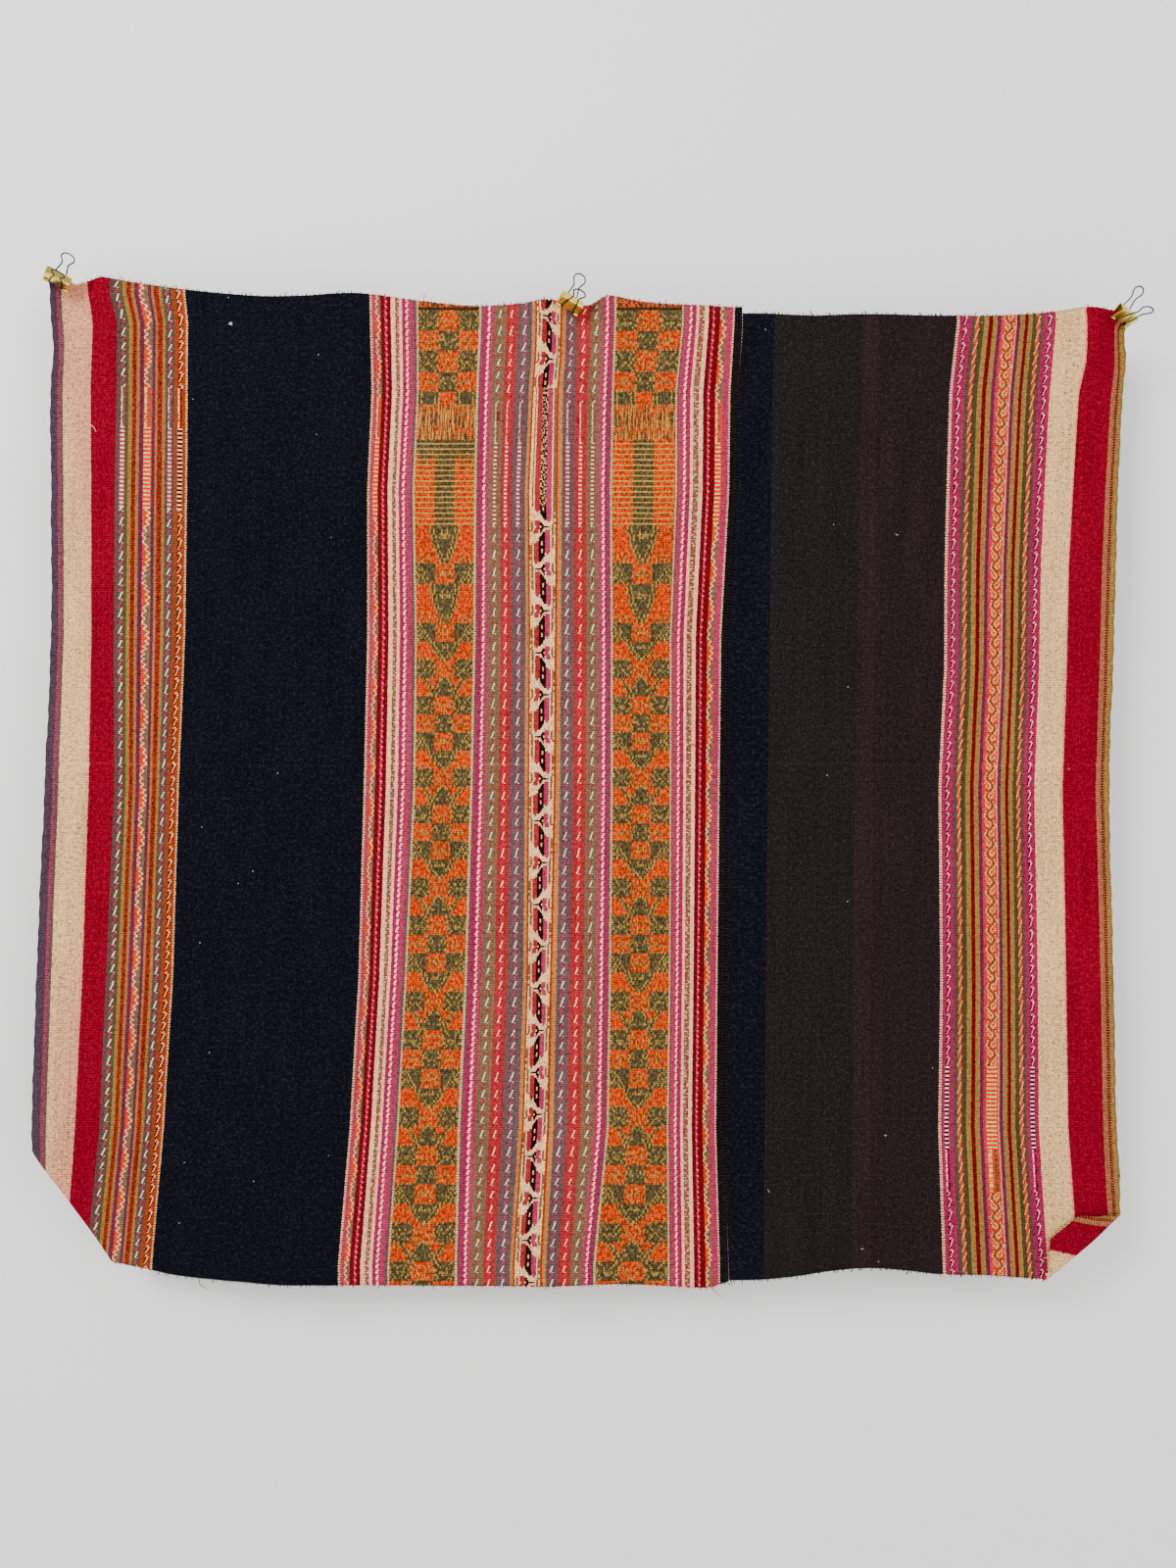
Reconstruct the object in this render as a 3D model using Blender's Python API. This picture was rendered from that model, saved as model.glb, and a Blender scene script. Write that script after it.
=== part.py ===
"""A carrying cloth of two warp-faced loom panels sewn side by side, hung by its top edge from three fold-back clips.

The origin is the middle of the eye in the middle clip's back wire. +X runs to the right as the cloth is looked at, +Z
up, and the cloth's front faces -Y. All sizes are in millimetres until a mesh is made, and become metres there.

Each panel is cut flat, as it comes off the loom: u runs across it from its left edge, v down it from its top edge,
and h out of its front. Its corners are folded in that flat state, and the whole is then hung.
"""

import math
from typing import NamedTuple

import bmesh
import bpy
from mathutils import Vector

MM = 0.001
SHARP_ANGLE = math.radians(40)
CUT_TOLERANCE = 1e-4
SLIVER = 0.15

CLOTH_THICK = 1.6
SEAM_GAP = 0.3
# The flat panel's cells before the clips' patches and the folds are cut in, and the reach of a slope's measure.
CELL = 40.0
STEP = 0.5

# The zero of the tables below lies this far right of, behind and above the middle eye.
DATUM = Vector((0.56, 5.05, 1.49))

CLIP_WIDTH = 25.0
JAW_LENGTH = 13.2
SPINE_WIDTH = 11.6
SHEET_METAL = 0.6
MOUTH_GAP = 2.2
BEND_RADIUS = 1.4
BEND_STEPS = 3
LUG_LENGTH = 4.5
LUG_RADIUS = 1.3
LUG_SWEEP = math.radians(280)
LUG_STEPS = 8

WIRE_RADIUS = 0.7
WIRE_BEVEL_STEPS = 2
PIN_REACH = 11.6
PIN_BEND = 1.2
LEG_HALF = 6.2
HANDLE_TOP = 36.4
HANDLE_STEPS = 2

# How the cloth leaves a clip: straight past the lips, and then round in a soft bend until it hangs.
LIP_STRAIGHT = 2.2
DROOP_RADIUS = 7.0
GRIP_HALF_WIDTH = 14.0
GRIP_DEPTH = 9.0
FADE_SIDE = 26.0
FADE_DOWN = 85.0
PATCH_HALF_WIDTH = 44.0
PATCH_SIDE_STEP = 8.0
PATCH_DROPS = (-6.0, 0.0, 2.2, 4.8, 7.6, 11.0, 17.0, 26.0, 38.0)

FABRIC = (0.045, 0.035, 0.06, 1.0)
BRASS = (0.62, 0.52, 0.26, 1.0)
STEEL = (0.09, 0.08, 0.09, 1.0)


class SideRow(NamedTuple):
    """The cloth's two sides and the seam between its panels, at one height."""

    drop: float
    left_edge: float
    seam: float
    right_edge: float


SIDES = (
    SideRow(-10, -553, 171.5, 577),
    SideRow(14, -553, 171, 577),
    SideRow(56, -550.5, 170.5, 577),
    SideRow(117, -555, 166, 569.5),
    SideRow(220, -554, 165, 563.5),
    SideRow(375, -554, 156, 559),
    SideRow(529, -560, 154.5, 553.5),
    SideRow(735, -568.5, 152.5, 559),
    SideRow(890, -573, 151, 562.5),
    SideRow(962, -572, 153.5, 566.5),
    SideRow(1060, -570.5, 157, 559),
)


class EndRow(NamedTuple):
    """How far down a panel's top and bottom ends are, at a fraction of its width."""

    across: float
    top: float
    hem: float


LEFT_ENDS = (
    EndRow(0.0, -1, 1027),
    EndRow(0.05, -5, 1029),
    EndRow(0.11, 1, 1032),
    EndRow(0.20, 10, 1044.5),
    EndRow(0.30, 17.5, 1049.5),
    EndRow(0.36, 17.5, 1052.5),
    EndRow(0.44, 14.5, 1054.5),
    EndRow(0.54, 22.5, 1055.5),
    EndRow(0.62, 27, 1056),
    EndRow(0.72, 22, 1055.5),
    EndRow(0.79, 15.5, 1054.5),
    EndRow(0.86, 22.5, 1055.5),
    EndRow(0.97, 27, 1058.5),
    EndRow(1.0, 27.5, 1052.5),
)

RIGHT_ENDS = (
    EndRow(0.0, 34, 1051.5),
    EndRow(0.07, 35.5, 1050),
    EndRow(0.14, 37.5, 1047),
    EndRow(0.20, 38, 1042.5),
    EndRow(0.27, 37, 1037),
    EndRow(0.35, 36.5, 1033.5),
    EndRow(0.44, 37, 1036.5),
    EndRow(0.55, 37, 1044),
    EndRow(0.68, 36.5, 1046.5),
    EndRow(0.80, 33.5, 1049.5),
    EndRow(0.90, 29, 1051.5),
    EndRow(1.0, 30, 1051.5),
)


class SoftFold(NamedTuple):
    """A long shallow fold: where it runs, how wide it is, and how far it stands out at three heights."""

    x_top: float
    x_hem: float
    half_width: float
    out_top: float
    out_middle: float
    out_hem: float


SOFT_FOLDS = (
    SoftFold(-552, -566, 26, 2, 5, 7),
    SoftFold(-430, -440, 70, -3, 3, -2),
    SoftFold(-290, -330, 90, 3, -2, 8),
    SoftFold(-120, -150, 60, -2, 5, 1),
    SoftFold(-12, -30, 45, 4, 1, 5),
    SoftFold(90, 80, 50, -3, 3, -2),
    SoftFold(165, 155, 22, -3, -4, -2),
    SoftFold(270, 300, 70, 3, -3, 10),
    SoftFold(430, 420, 70, -3, 4, -3),
    SoftFold(545, 530, 34, 3, 5, 3),
)
CLOTH_LENGTH = 1030.0


class Clip(NamedTuple):
    """One clip: the middle of its lips, how it is turned, and how far the cloth goes in.

    Angles are in degrees. turn takes the right end of the lips back, slope takes it down, and the rest lean forward
    from upright about the lips. sway is how far a bent back wire leans along the lips for its rise.
    """

    name: str
    x: float
    drop: float
    forward: float
    turn: float
    slope: float
    body: float
    back_wire: float
    front_wire: float
    sway: float
    grip: float


CLIPS = {
    "left": Clip("clip_left", -546.5, 7.0, 9.0, 30.0, 21.0, 69.0, -8.0, 90.5, 0.0, 5.0),
    "middle": Clip("clip_middle", -13.3, 31.6, 6.0, 22.0, 22.0, 58.0, 10.5, 80.5, 0.0, 5.5),
    "right": Clip("clip_right", 562.5, 45.0, 8.0, 30.0, 14.0, 64.0, 28.0, 88.0, 0.2, 7.0),
}


class CornerFold(NamedTuple):
    """A corner turned over: where the fold starts, measured from the corner, and which way it goes."""

    u_side: float
    angle: float
    from_corner: float
    radius: float
    side: float
    bend_lines: int


# The back fold takes the lower left corner behind. The front fold turns the lower right corner up over the front, with
# its own tip turned under first.
BACK_FOLD = CornerFold(-1.0, 34.6, 67.0, 3.2, -1.0, 5)
FRONT_FOLD = CornerFold(1.0, 45.0, 55.0, 3.2, 1.0, 5)
TIP_FOLD = CornerFold(1.0, 45.0, 21.0, 1.4, 1.0, 3)


class Panel(NamedTuple):
    """One loom panel: its flat size, the columns of SIDES that it hangs between, its ends, folds and clips."""

    name: str
    width: float
    length: float
    left: str
    right: str
    inset_left: float
    inset_right: float
    ends: tuple
    folds: tuple
    clips: tuple


PANELS = (
    Panel("left_panel", 722.0, 1032.0, "left_edge", "seam", 0.0, SEAM_GAP / 2, LEFT_ENDS,
          (BACK_FOLD,), ("left", "middle")),
    Panel("right_panel", 405.0, 1012.0, "seam", "right_edge", SEAM_GAP / 2, 0.0, RIGHT_ENDS,
          (TIP_FOLD, FRONT_FOLD), ("right",)),
)


def clear_scene():
    """Remove every object that the file opened with."""
    for item in list(bpy.data.objects):
        bpy.data.objects.remove(item, do_unlink=True)


def make_material(name, colour, roughness, metallic):
    """Make a plain Principled material."""
    material = bpy.data.materials.new(name)
    material.use_nodes = True
    shader = material.node_tree.nodes["Principled BSDF"]
    shader.inputs["Base Color"].default_value = colour
    shader.inputs["Roughness"].default_value = roughness
    shader.inputs["Metallic"].default_value = metallic
    material.diffuse_color = colour
    return material


def read_table(rows, at):
    """Read the columns after the first at a place between rows, along a smooth curve through them."""
    keys = [row[0] for row in rows]
    at = min(max(at, keys[0]), keys[-1])
    k = max(i for i in range(len(keys) - 1) if keys[i] <= at)
    span = keys[k + 1] - keys[k]
    t = (at - keys[k]) / span

    def slope(i, column):
        """The table's slope at one row, from the rows on both sides."""
        low, high = max(i - 1, 0), min(i + 1, len(keys) - 1)
        return (rows[high][column] - rows[low][column]) / (keys[high] - keys[low])

    values = []
    for column in range(1, len(rows[0])):
        start, end = rows[k][column], rows[k + 1][column]
        bend_in = slope(k, column) * span
        bend_out = slope(k + 1, column) * span
        values.append(
            start * (1 + 2 * t) * (1 - t) ** 2 + bend_in * t * (1 - t) ** 2
            + end * t * t * (3 - 2 * t) + bend_out * t * t * (t - 1)
        )
    return values


def soft_depth(x, drop):
    """How far the hanging cloth stands forward of its plane, from the long soft folds."""
    down = min(max(drop / CLOTH_LENGTH, 0.0), 1.0)
    total = 0.0
    for row in SOFT_FOLDS:
        centre = row.x_top + (row.x_hem - row.x_top) * down
        out = (
            row.out_top * (1 - down) * (1 - 2 * down)
            + row.out_middle * 4 * down * (1 - down)
            + row.out_hem * down * (2 * down - 1)
        )
        total += out * math.exp(-(((x - centre) / row.half_width) ** 2))
    return total


class ClipFrame:
    """The directions of one clip: along its lips, and leaning forward from upright about them."""

    def __init__(self, clip):
        turn, slope = math.radians(clip.turn), math.radians(clip.slope)
        self.clip = clip
        self.lips = Vector((math.cos(turn) * math.cos(slope), math.sin(turn) * math.cos(slope), -math.sin(slope)))
        self.up = (Vector((0, 0, 1)) - self.lips * self.lips.z).normalized()
        self.out = self.lips.cross(self.up)
        self.centre = DATUM + Vector((clip.x, -clip.forward, -clip.drop))
        self.body = math.radians(clip.body)
        self.jaw_lean = math.asin((SPINE_WIDTH - MOUTH_GAP - SHEET_METAL) / 2 / JAW_LENGTH)

    def lean(self, angle):
        """The direction that leans forward by an angle."""
        return self.up * math.cos(angle) + self.out * math.sin(angle)

    def point(self, along, plane_vector):
        """A place from its distance along the lips and its offset across them."""
        return self.centre + self.lips * along + plane_vector

    def cloth_path(self, t):
        """The offset of the cloth's middle at a length t past the lips, or inside them where t is negative."""
        past = t - LIP_STRAIGHT
        if past <= 0:
            return self.lean(self.body) * -t
        angle = max(self.body - past / DROOP_RADIUS, 0.0)
        bend = (
            self.up * (math.sin(self.body) - math.sin(angle)) + self.out * (math.cos(angle) - math.cos(self.body))
        ) * DROOP_RADIUS
        below = max(past - self.body * DROOP_RADIUS, 0.0)
        return self.lean(self.body) * -LIP_STRAIGHT - bend - self.up * below

    def lug_centre(self, jaw):
        """The middle of a jaw's rolled lugs, where its wire turns. jaw is 1 for the front one and -1 for the back."""
        half_mouth = (MOUTH_GAP + SHEET_METAL) / 2
        side = self.lean(self.body + jaw * math.pi / 2) * half_mouth
        return side + self.lean(self.body + jaw * (self.jaw_lean + math.pi / 2)) * LUG_RADIUS


CLIP_FRAMES = {key: ClipFrame(clip) for key, clip in CLIPS.items()}


def hung_plainly(panel, u, v):
    """Where a flat point of a panel hangs, before any clip pulls at it."""
    across = u / panel.width
    top, hem = read_table(panel.ends, across)
    drop = top + (hem - top) * v / panel.length
    sides = dict(zip(SideRow._fields[1:], read_table(SIDES, drop)))
    left = sides[panel.left] + panel.inset_left
    right = sides[panel.right] - panel.inset_right
    x = left + (right - left) * across
    return DATUM + Vector((x, -soft_depth(x, drop), -drop))


def grip_point(panel, clip):
    """The flat point of a panel that lies in the middle of a clip's lips."""
    sides = dict(zip(SideRow._fields[1:], read_table(SIDES, clip.drop)))
    across = (clip.x - sides[panel.left]) / (sides[panel.right] - sides[panel.left])
    return across * panel.width, clip.grip


def lip_lengths(panel, clip, u, v):
    """A flat point's distance along a clip's lips and its length past them."""
    grip_u, grip_v = grip_point(panel, clip)
    slope = math.radians(clip.slope)
    along = (u - grip_u) * math.cos(slope) + (v - grip_v) * math.sin(slope)
    past = (v - grip_v) * math.cos(slope) - (u - grip_u) * math.sin(slope)
    return along, past


def hung(panel, u, v):
    """Where a flat point of a panel hangs, with the clips' hold on it."""
    place = hung_plainly(panel, u, v)
    for key in panel.clips:
        clip = CLIPS[key]
        along, past = lip_lengths(panel, clip, u, v)
        side = max(abs(along) - GRIP_HALF_WIDTH, 0.0) / FADE_SIDE
        down = max(past - GRIP_DEPTH, 0.0) / FADE_DOWN
        away = min(math.hypot(side, down), 1.0)
        hold = 1 - away * away * (3 - 2 * away)
        if hold > 0:
            frame = CLIP_FRAMES[key]
            place = place.lerp(frame.point(along, frame.cloth_path(past)), hold)
    return place


def fold_corner(panel, fold, u, v, h):
    """Turn a flat point over a corner's fold line, keeping its lengths."""
    angle = math.radians(fold.angle)
    across, down = fold.u_side * math.cos(angle), math.sin(angle)
    corner_u = panel.width if fold.u_side > 0 else 0.0
    past = (u - corner_u) * across + (v - panel.length) * down + fold.from_corner
    if past <= 0:
        return u, v, h
    half_turn = math.pi * fold.radius
    if past < half_turn:
        phi = past / fold.radius
        arm = fold.radius - fold.side * h
        moved = arm * math.sin(phi)
        height = fold.side * (fold.radius - arm * math.cos(phi))
    else:
        moved = half_turn - past
        height = fold.side * 2 * fold.radius - h
    return u + (moved - past) * across, v + (moved - past) * down, height


def draped(panel, u, v, h):
    """Where a point of the flat, thick panel ends up."""
    for fold in panel.folds:
        u, v, h = fold_corner(panel, fold, u, v, h)
    place = hung(panel, u, v)
    side = hung(panel, u + STEP, v) - hung(panel, u - STEP, v)
    down = hung(panel, u, v + STEP) - hung(panel, u, v - STEP)
    return place + down.cross(side).normalized() * h


def cut_lines(mesh, keep, lines):
    """Cut the flat mesh along lines, each a point and a direction across it, in the faces that keep accepts."""
    for point, normal in lines:
        faces = [face for face in mesh.faces if keep(face.calc_center_median())]
        geometry = set(faces)
        for face in faces:
            geometry.update(face.edges)
            geometry.update(face.verts)
        bmesh.ops.bisect_plane(mesh, geom=list(geometry), dist=CUT_TOLERANCE, plane_co=point, plane_no=normal)


def clip_cuts(mesh, panel, clip):
    """Cut the flat panel finely round a clip, along and across its lips."""
    grip_u, grip_v = grip_point(panel, clip)
    slope = math.radians(clip.slope)
    lips = Vector((math.cos(slope), math.sin(slope), 0))
    past = Vector((-math.sin(slope), math.cos(slope), 0))
    middle = Vector((grip_u, grip_v, 0))
    reach = max(PATCH_DROPS)

    def near(centre):
        """Whether a face lies in the patch round the clip."""
        offset = centre - middle
        return abs(offset.dot(lips)) < PATCH_HALF_WIDTH and offset.dot(past) < reach + CELL / 2

    count = int(PATCH_HALF_WIDTH // PATCH_SIDE_STEP)
    lines = [(middle + past * drop, past) for drop in PATCH_DROPS]
    lines += [(middle + lips * k * PATCH_SIDE_STEP, lips) for k in range(-count, count + 1)]
    cut_lines(mesh, near, lines)


def fold_cuts(mesh, panel, fold):
    """Cut the flat panel along a corner's fold, so that the bend is round."""
    angle = math.radians(fold.angle)
    normal = Vector((fold.u_side * math.cos(angle), math.sin(angle), 0))
    corner = Vector((panel.width if fold.u_side > 0 else 0.0, panel.length, 0))
    start = corner - normal * fold.from_corner
    half_turn = math.pi * fold.radius
    lines = [(start + normal * half_turn * k / fold.bend_lines, normal) for k in range(fold.bend_lines + 1)]
    cut_lines(mesh, lambda centre: (centre - start).dot(normal) > -2 * CELL, lines)


def build_panel(panel, material):
    """Cut one panel flat, give it its thickness, fold its corners and hang it."""
    mesh = bmesh.new()
    columns, rows = round(panel.width / CELL), round(panel.length / CELL)
    bmesh.ops.create_grid(mesh, x_segments=columns, y_segments=rows, size=0.5)
    for vert in mesh.verts:
        vert.co = Vector(((vert.co.x + 0.5) * panel.width, (vert.co.y + 0.5) * panel.length, 0))
    for key in panel.clips:
        clip_cuts(mesh, panel, CLIPS[key])
    for fold in panel.folds:
        fold_cuts(mesh, panel, fold)
    bmesh.ops.dissolve_degenerate(mesh, edges=mesh.edges[:], dist=SLIVER)
    bmesh.ops.triangulate(mesh, faces=mesh.faces[:])
    for vert in mesh.verts:
        vert.co.z = -CLOTH_THICK / 2
    grown = bmesh.ops.extrude_face_region(mesh, geom=mesh.faces[:])
    for item in grown["geom"]:
        if isinstance(item, bmesh.types.BMVert):
            item.co.z = CLOTH_THICK / 2
    bmesh.ops.recalc_face_normals(mesh, faces=mesh.faces[:])
    for vert in mesh.verts:
        vert.co = draped(panel, *vert.co) * MM
    # The flat axes u, v and h are left-handed once hung, so each face is turned over.
    bmesh.ops.reverse_faces(mesh, faces=mesh.faces[:])
    return link_mesh(panel.name, mesh, material)


def link_mesh(name, mesh, material):
    """Turn a bmesh into an object of the scene, smooth but for its sharp edges."""
    data = bpy.data.meshes.new(name)
    mesh.to_mesh(data)
    mesh.free()
    data.materials.append(material)
    data.shade_smooth()
    data.set_sharp_from_angle(angle=SHARP_ANGLE)
    item = bpy.data.objects.new(name, data)
    bpy.context.scene.collection.objects.link(item)
    return item


def rounded(before, corner, after, radius, steps):
    """The points of an arc that rounds a corner between two straight runs."""
    arm_in = (before - corner).normalized()
    arm_out = (after - corner).normalized()
    half = arm_in.angle(arm_out) / 2
    centre = corner + (arm_in + arm_out).normalized() * (radius / math.sin(half))
    start = corner + arm_in * (radius / math.tan(half)) - centre
    end = corner + arm_out * (radius / math.tan(half)) - centre
    return [centre + start.slerp(end, k / steps).normalized() * radius for k in range(steps + 1)]


def jaw_points(frame, jaw):
    """One jaw's section from the end of its rolled lug to its lip."""
    centre = frame.lug_centre(jaw)
    start = frame.body + jaw * (frame.jaw_lean - math.pi / 2)
    return [
        centre + frame.lean(start - jaw * LUG_SWEEP * k / LUG_STEPS) * LUG_RADIUS for k in range(LUG_STEPS, -1, -1)
    ]


def build_clip_body(frame, material):
    """Bend one clip's body from sheet: two jaws with rolled lugs at their ends, and the spine between them."""
    front, back = jaw_points(frame, 1), jaw_points(frame, -1)
    front_corner = front[-1] + frame.lean(frame.body + frame.jaw_lean) * JAW_LENGTH
    back_corner = back[-1] + frame.lean(frame.body - frame.jaw_lean) * JAW_LENGTH
    section = front
    section += rounded(front[-1], front_corner, back_corner, BEND_RADIUS, BEND_STEPS)
    section += rounded(front_corner, back_corner, back[-1], BEND_RADIUS, BEND_STEPS)
    section += back[::-1]
    half = CLIP_WIDTH / 2
    stations = (-half, -half + LUG_LENGTH, half - LUG_LENGTH, half)
    mesh = bmesh.new()
    lines = [[mesh.verts.new(frame.point(along, offset) * MM) for offset in section] for along in stations]
    last = len(section) - 1
    for strip in range(len(stations) - 1):
        for k in range(last):
            in_lug = k < LUG_STEPS or k >= last - LUG_STEPS
            if strip == 1 and in_lug:
                continue
            corners = (lines[strip][k], lines[strip + 1][k], lines[strip + 1][k + 1], lines[strip][k + 1])
            mesh.faces.new(corners)
    bmesh.ops.delete(mesh, geom=[vert for vert in mesh.verts if not vert.link_faces], context="VERTS")
    bmesh.ops.recalc_face_normals(mesh, faces=mesh.faces[:])
    item = link_mesh(frame.clip.name, mesh, material)
    wall = item.modifiers.new("sheet", "SOLIDIFY")
    wall.thickness = SHEET_METAL * MM
    wall.offset = 0.0
    wall.use_even_offset = True
    return item


class WireRow(NamedTuple):
    """A place on one half of a wire handle: out from its middle line, and up from the lugs."""

    out: float
    rise: float


HANDLE_HALF = (
    WireRow(5.9, 6.0),
    WireRow(4.8, 14.5),
    WireRow(3.3, 22.0),
    WireRow(4.0, 25.6),
    WireRow(6.1, 29.4),
    WireRow(6.2, 32.6),
    WireRow(3.8, 35.5),
)


def handle_path():
    """One handle's middle line, from the pin in one lug over the eye to the pin in the other."""
    centre_out, centre_rise = LEG_HALF + PIN_BEND, PIN_BEND
    pin = [Vector((PIN_REACH, 0)), Vector((centre_out + PIN_BEND / 2, 0))]
    for k in range(HANDLE_STEPS + 1):
        angle = math.pi / 2 * k / HANDLE_STEPS
        offset = Vector((math.sin(angle), math.cos(angle))) * PIN_BEND
        pin.append(Vector((centre_out, centre_rise)) - offset)
    knots = [pin[-1]] + [Vector(row) for row in HANDLE_HALF] + [Vector((0, HANDLE_TOP))]
    knots.append(Vector((-HANDLE_HALF[-1].out, HANDLE_HALF[-1].rise)))
    curve = []
    for k in range(1, len(knots) - 1):
        before, start, end = knots[max(k - 2, 0)], knots[k - 1], knots[k]
        after = knots[k + 1]
        for step in range(1, HANDLE_STEPS + 1):
            t = step / HANDLE_STEPS
            curve.append(0.5 * (
                2 * start + (end - before) * t + (2 * before - 5 * start + 4 * end - after) * t * t
                + (3 * start - before - 3 * end + after) * t ** 3
            ))
    half = pin + curve
    return half + [Vector((-place.x, place.y)) for place in reversed(half[:-1])]


def build_wire(frame, jaw, angle, sway, name, material):
    """Bend one wire handle and set its pins in the lugs of one jaw."""
    curve = bpy.data.curves.new(name, "CURVE")
    curve.dimensions = "3D"
    curve.bevel_depth = WIRE_RADIUS * MM
    curve.bevel_resolution = WIRE_BEVEL_STEPS
    curve.use_fill_caps = True
    path = handle_path()
    spline = curve.splines.new("POLY")
    spline.points.add(len(path) - 1)
    lug = frame.lug_centre(jaw)
    for point, place in zip(spline.points, path):
        along = place.x + sway * max(place.y - PIN_BEND, 0.0)
        where = frame.point(along, lug + frame.lean(math.radians(angle)) * place.y) * MM
        point.co = (*where, 1.0)
    spline.use_smooth = True
    curve.materials.append(material)
    item = bpy.data.objects.new(name, curve)
    bpy.context.scene.collection.objects.link(item)
    return item


def main():
    """Build the cloth's two panels and the three clips that hold it."""
    clear_scene()
    fabric = make_material("cloth", FABRIC, 0.92, 0.0)
    brass = make_material("clip_plate", BRASS, 0.35, 1.0)
    steel = make_material("wire", STEEL, 0.4, 1.0)
    for panel in PANELS:
        build_panel(panel, fabric)
    for frame in CLIP_FRAMES.values():
        clip = frame.clip
        build_clip_body(frame, brass)
        build_wire(frame, -1, clip.back_wire, clip.sway, clip.name + "_back_wire", steel)
        build_wire(frame, 1, clip.front_wire, 0.0, clip.name + "_front_wire", steel)


main()
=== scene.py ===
"""The looks of a carrying cloth of two loom panels, hung by its top edge from three fold-back clips.

The cloth is worked flat, as it comes off the loom: u runs across a panel from its left edge, v down it from its top
edge and h out of its front, all in millimetres. Its corners are folded in that flat state, and the whole is then hung.
The stripes are laid out on two pattern lengths kept in the cloth's UV map: one across the threads, and one along them.
"""

import logging
import math
from dataclasses import dataclass
from enum import Enum
from typing import Callable, Iterable, NamedTuple, Optional, Sequence, Union

import bmesh
import bpy
import numpy as np
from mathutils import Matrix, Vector


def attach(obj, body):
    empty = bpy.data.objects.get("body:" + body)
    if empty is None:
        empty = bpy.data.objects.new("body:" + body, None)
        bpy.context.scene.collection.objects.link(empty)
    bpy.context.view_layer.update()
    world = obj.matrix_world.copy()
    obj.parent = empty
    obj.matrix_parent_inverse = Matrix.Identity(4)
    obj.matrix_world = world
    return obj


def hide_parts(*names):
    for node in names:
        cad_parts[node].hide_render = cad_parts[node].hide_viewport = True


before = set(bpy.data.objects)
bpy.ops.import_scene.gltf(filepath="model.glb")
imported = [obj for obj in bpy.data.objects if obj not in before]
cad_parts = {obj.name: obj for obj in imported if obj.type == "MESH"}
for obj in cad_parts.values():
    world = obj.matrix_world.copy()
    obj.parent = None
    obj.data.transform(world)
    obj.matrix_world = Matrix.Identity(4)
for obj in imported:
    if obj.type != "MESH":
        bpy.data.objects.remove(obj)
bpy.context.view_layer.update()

LOG = logging.getLogger("carrying_cloth")
MM = 0.001
DATUM = Vector((0.56, 5.05, 1.49))
Array = np.ndarray
Socket = bpy.types.NodeSocket
Feed = Union[Socket, float, tuple]

# The photograph's pattern lengths: one of its units on the cloth, and the place of the tables' zero in it.
UNIT = 1.03
ZERO_ACROSS = 592.0
ZERO_DOWN = 286.0
MIDDLE_ACROSS = 600.0
MIDDLE_DOWN = 800.0
EYE_DISTANCE = 1190.0
UV_SCALE = 0.001


class SideRow(NamedTuple):
    """The cloth's two sides and the seam between its panels, at one height."""

    drop: float
    left_edge: float
    seam: float
    right_edge: float


class EndRow(NamedTuple):
    """How far down a panel's top and bottom ends are, at a fraction of its width."""

    across: float
    top: float
    hem: float


class SoftFold(NamedTuple):
    """A long shallow fold: where it runs, how wide it is, and how far it stands out at three heights."""

    x_top: float
    x_hem: float
    half_width: float
    out_top: float
    out_middle: float
    out_hem: float


SIDES = (
    SideRow(-10, -553, 171.5, 577),
    SideRow(14, -553, 171, 577),
    SideRow(56, -550.5, 170.5, 577),
    SideRow(117, -555, 166, 569.5),
    SideRow(220, -554, 165, 563.5),
    SideRow(375, -554, 156, 559),
    SideRow(529, -560, 154.5, 553.5),
    SideRow(735, -568.5, 152.5, 559),
    SideRow(890, -573, 151, 562.5),
    SideRow(962, -572, 153.5, 566.5),
    SideRow(1060, -570.5, 157, 559),
)

LEFT_ENDS = (
    EndRow(0.0, -1, 1027),
    EndRow(0.05, -5, 1029),
    EndRow(0.11, 1, 1032),
    EndRow(0.20, 10, 1044.5),
    EndRow(0.30, 17.5, 1049.5),
    EndRow(0.36, 17.5, 1052.5),
    EndRow(0.44, 14.5, 1054.5),
    EndRow(0.54, 22.5, 1055.5),
    EndRow(0.62, 27, 1056),
    EndRow(0.72, 22, 1055.5),
    EndRow(0.79, 15.5, 1054.5),
    EndRow(0.86, 22.5, 1055.5),
    EndRow(0.97, 27, 1058.5),
    EndRow(1.0, 27.5, 1052.5),
)

RIGHT_ENDS = (
    EndRow(0.0, 34, 1051.5),
    EndRow(0.07, 35.5, 1050),
    EndRow(0.14, 37.5, 1047),
    EndRow(0.20, 38, 1042.5),
    EndRow(0.27, 37, 1037),
    EndRow(0.35, 36.5, 1033.5),
    EndRow(0.44, 37, 1036.5),
    EndRow(0.55, 37, 1044),
    EndRow(0.68, 36.5, 1046.5),
    EndRow(0.80, 33.5, 1049.5),
    EndRow(0.90, 29, 1051.5),
    EndRow(1.0, 30, 1051.5),
)

SOFT_FOLDS = (
    SoftFold(-552, -566, 26, 2, 5, 7),
    SoftFold(-430, -440, 70, -3, 3, -2),
    SoftFold(-290, -330, 90, 3, -2, 8),
    SoftFold(-120, -150, 60, -2, 5, 1),
    SoftFold(-12, -30, 45, 4, 1, 5),
    SoftFold(90, 80, 50, -3, 3, -2),
    SoftFold(165, 155, 22, -3, -4, -2),
    SoftFold(270, 300, 70, 3, -3, 10),
    SoftFold(430, 420, 70, -3, 4, -3),
    SoftFold(545, 530, 34, 3, 5, 3),
)
CLOTH_LENGTH = 1030.0
CLOTH_THICK = 1.6
SEAM_GAP = 0.3


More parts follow.
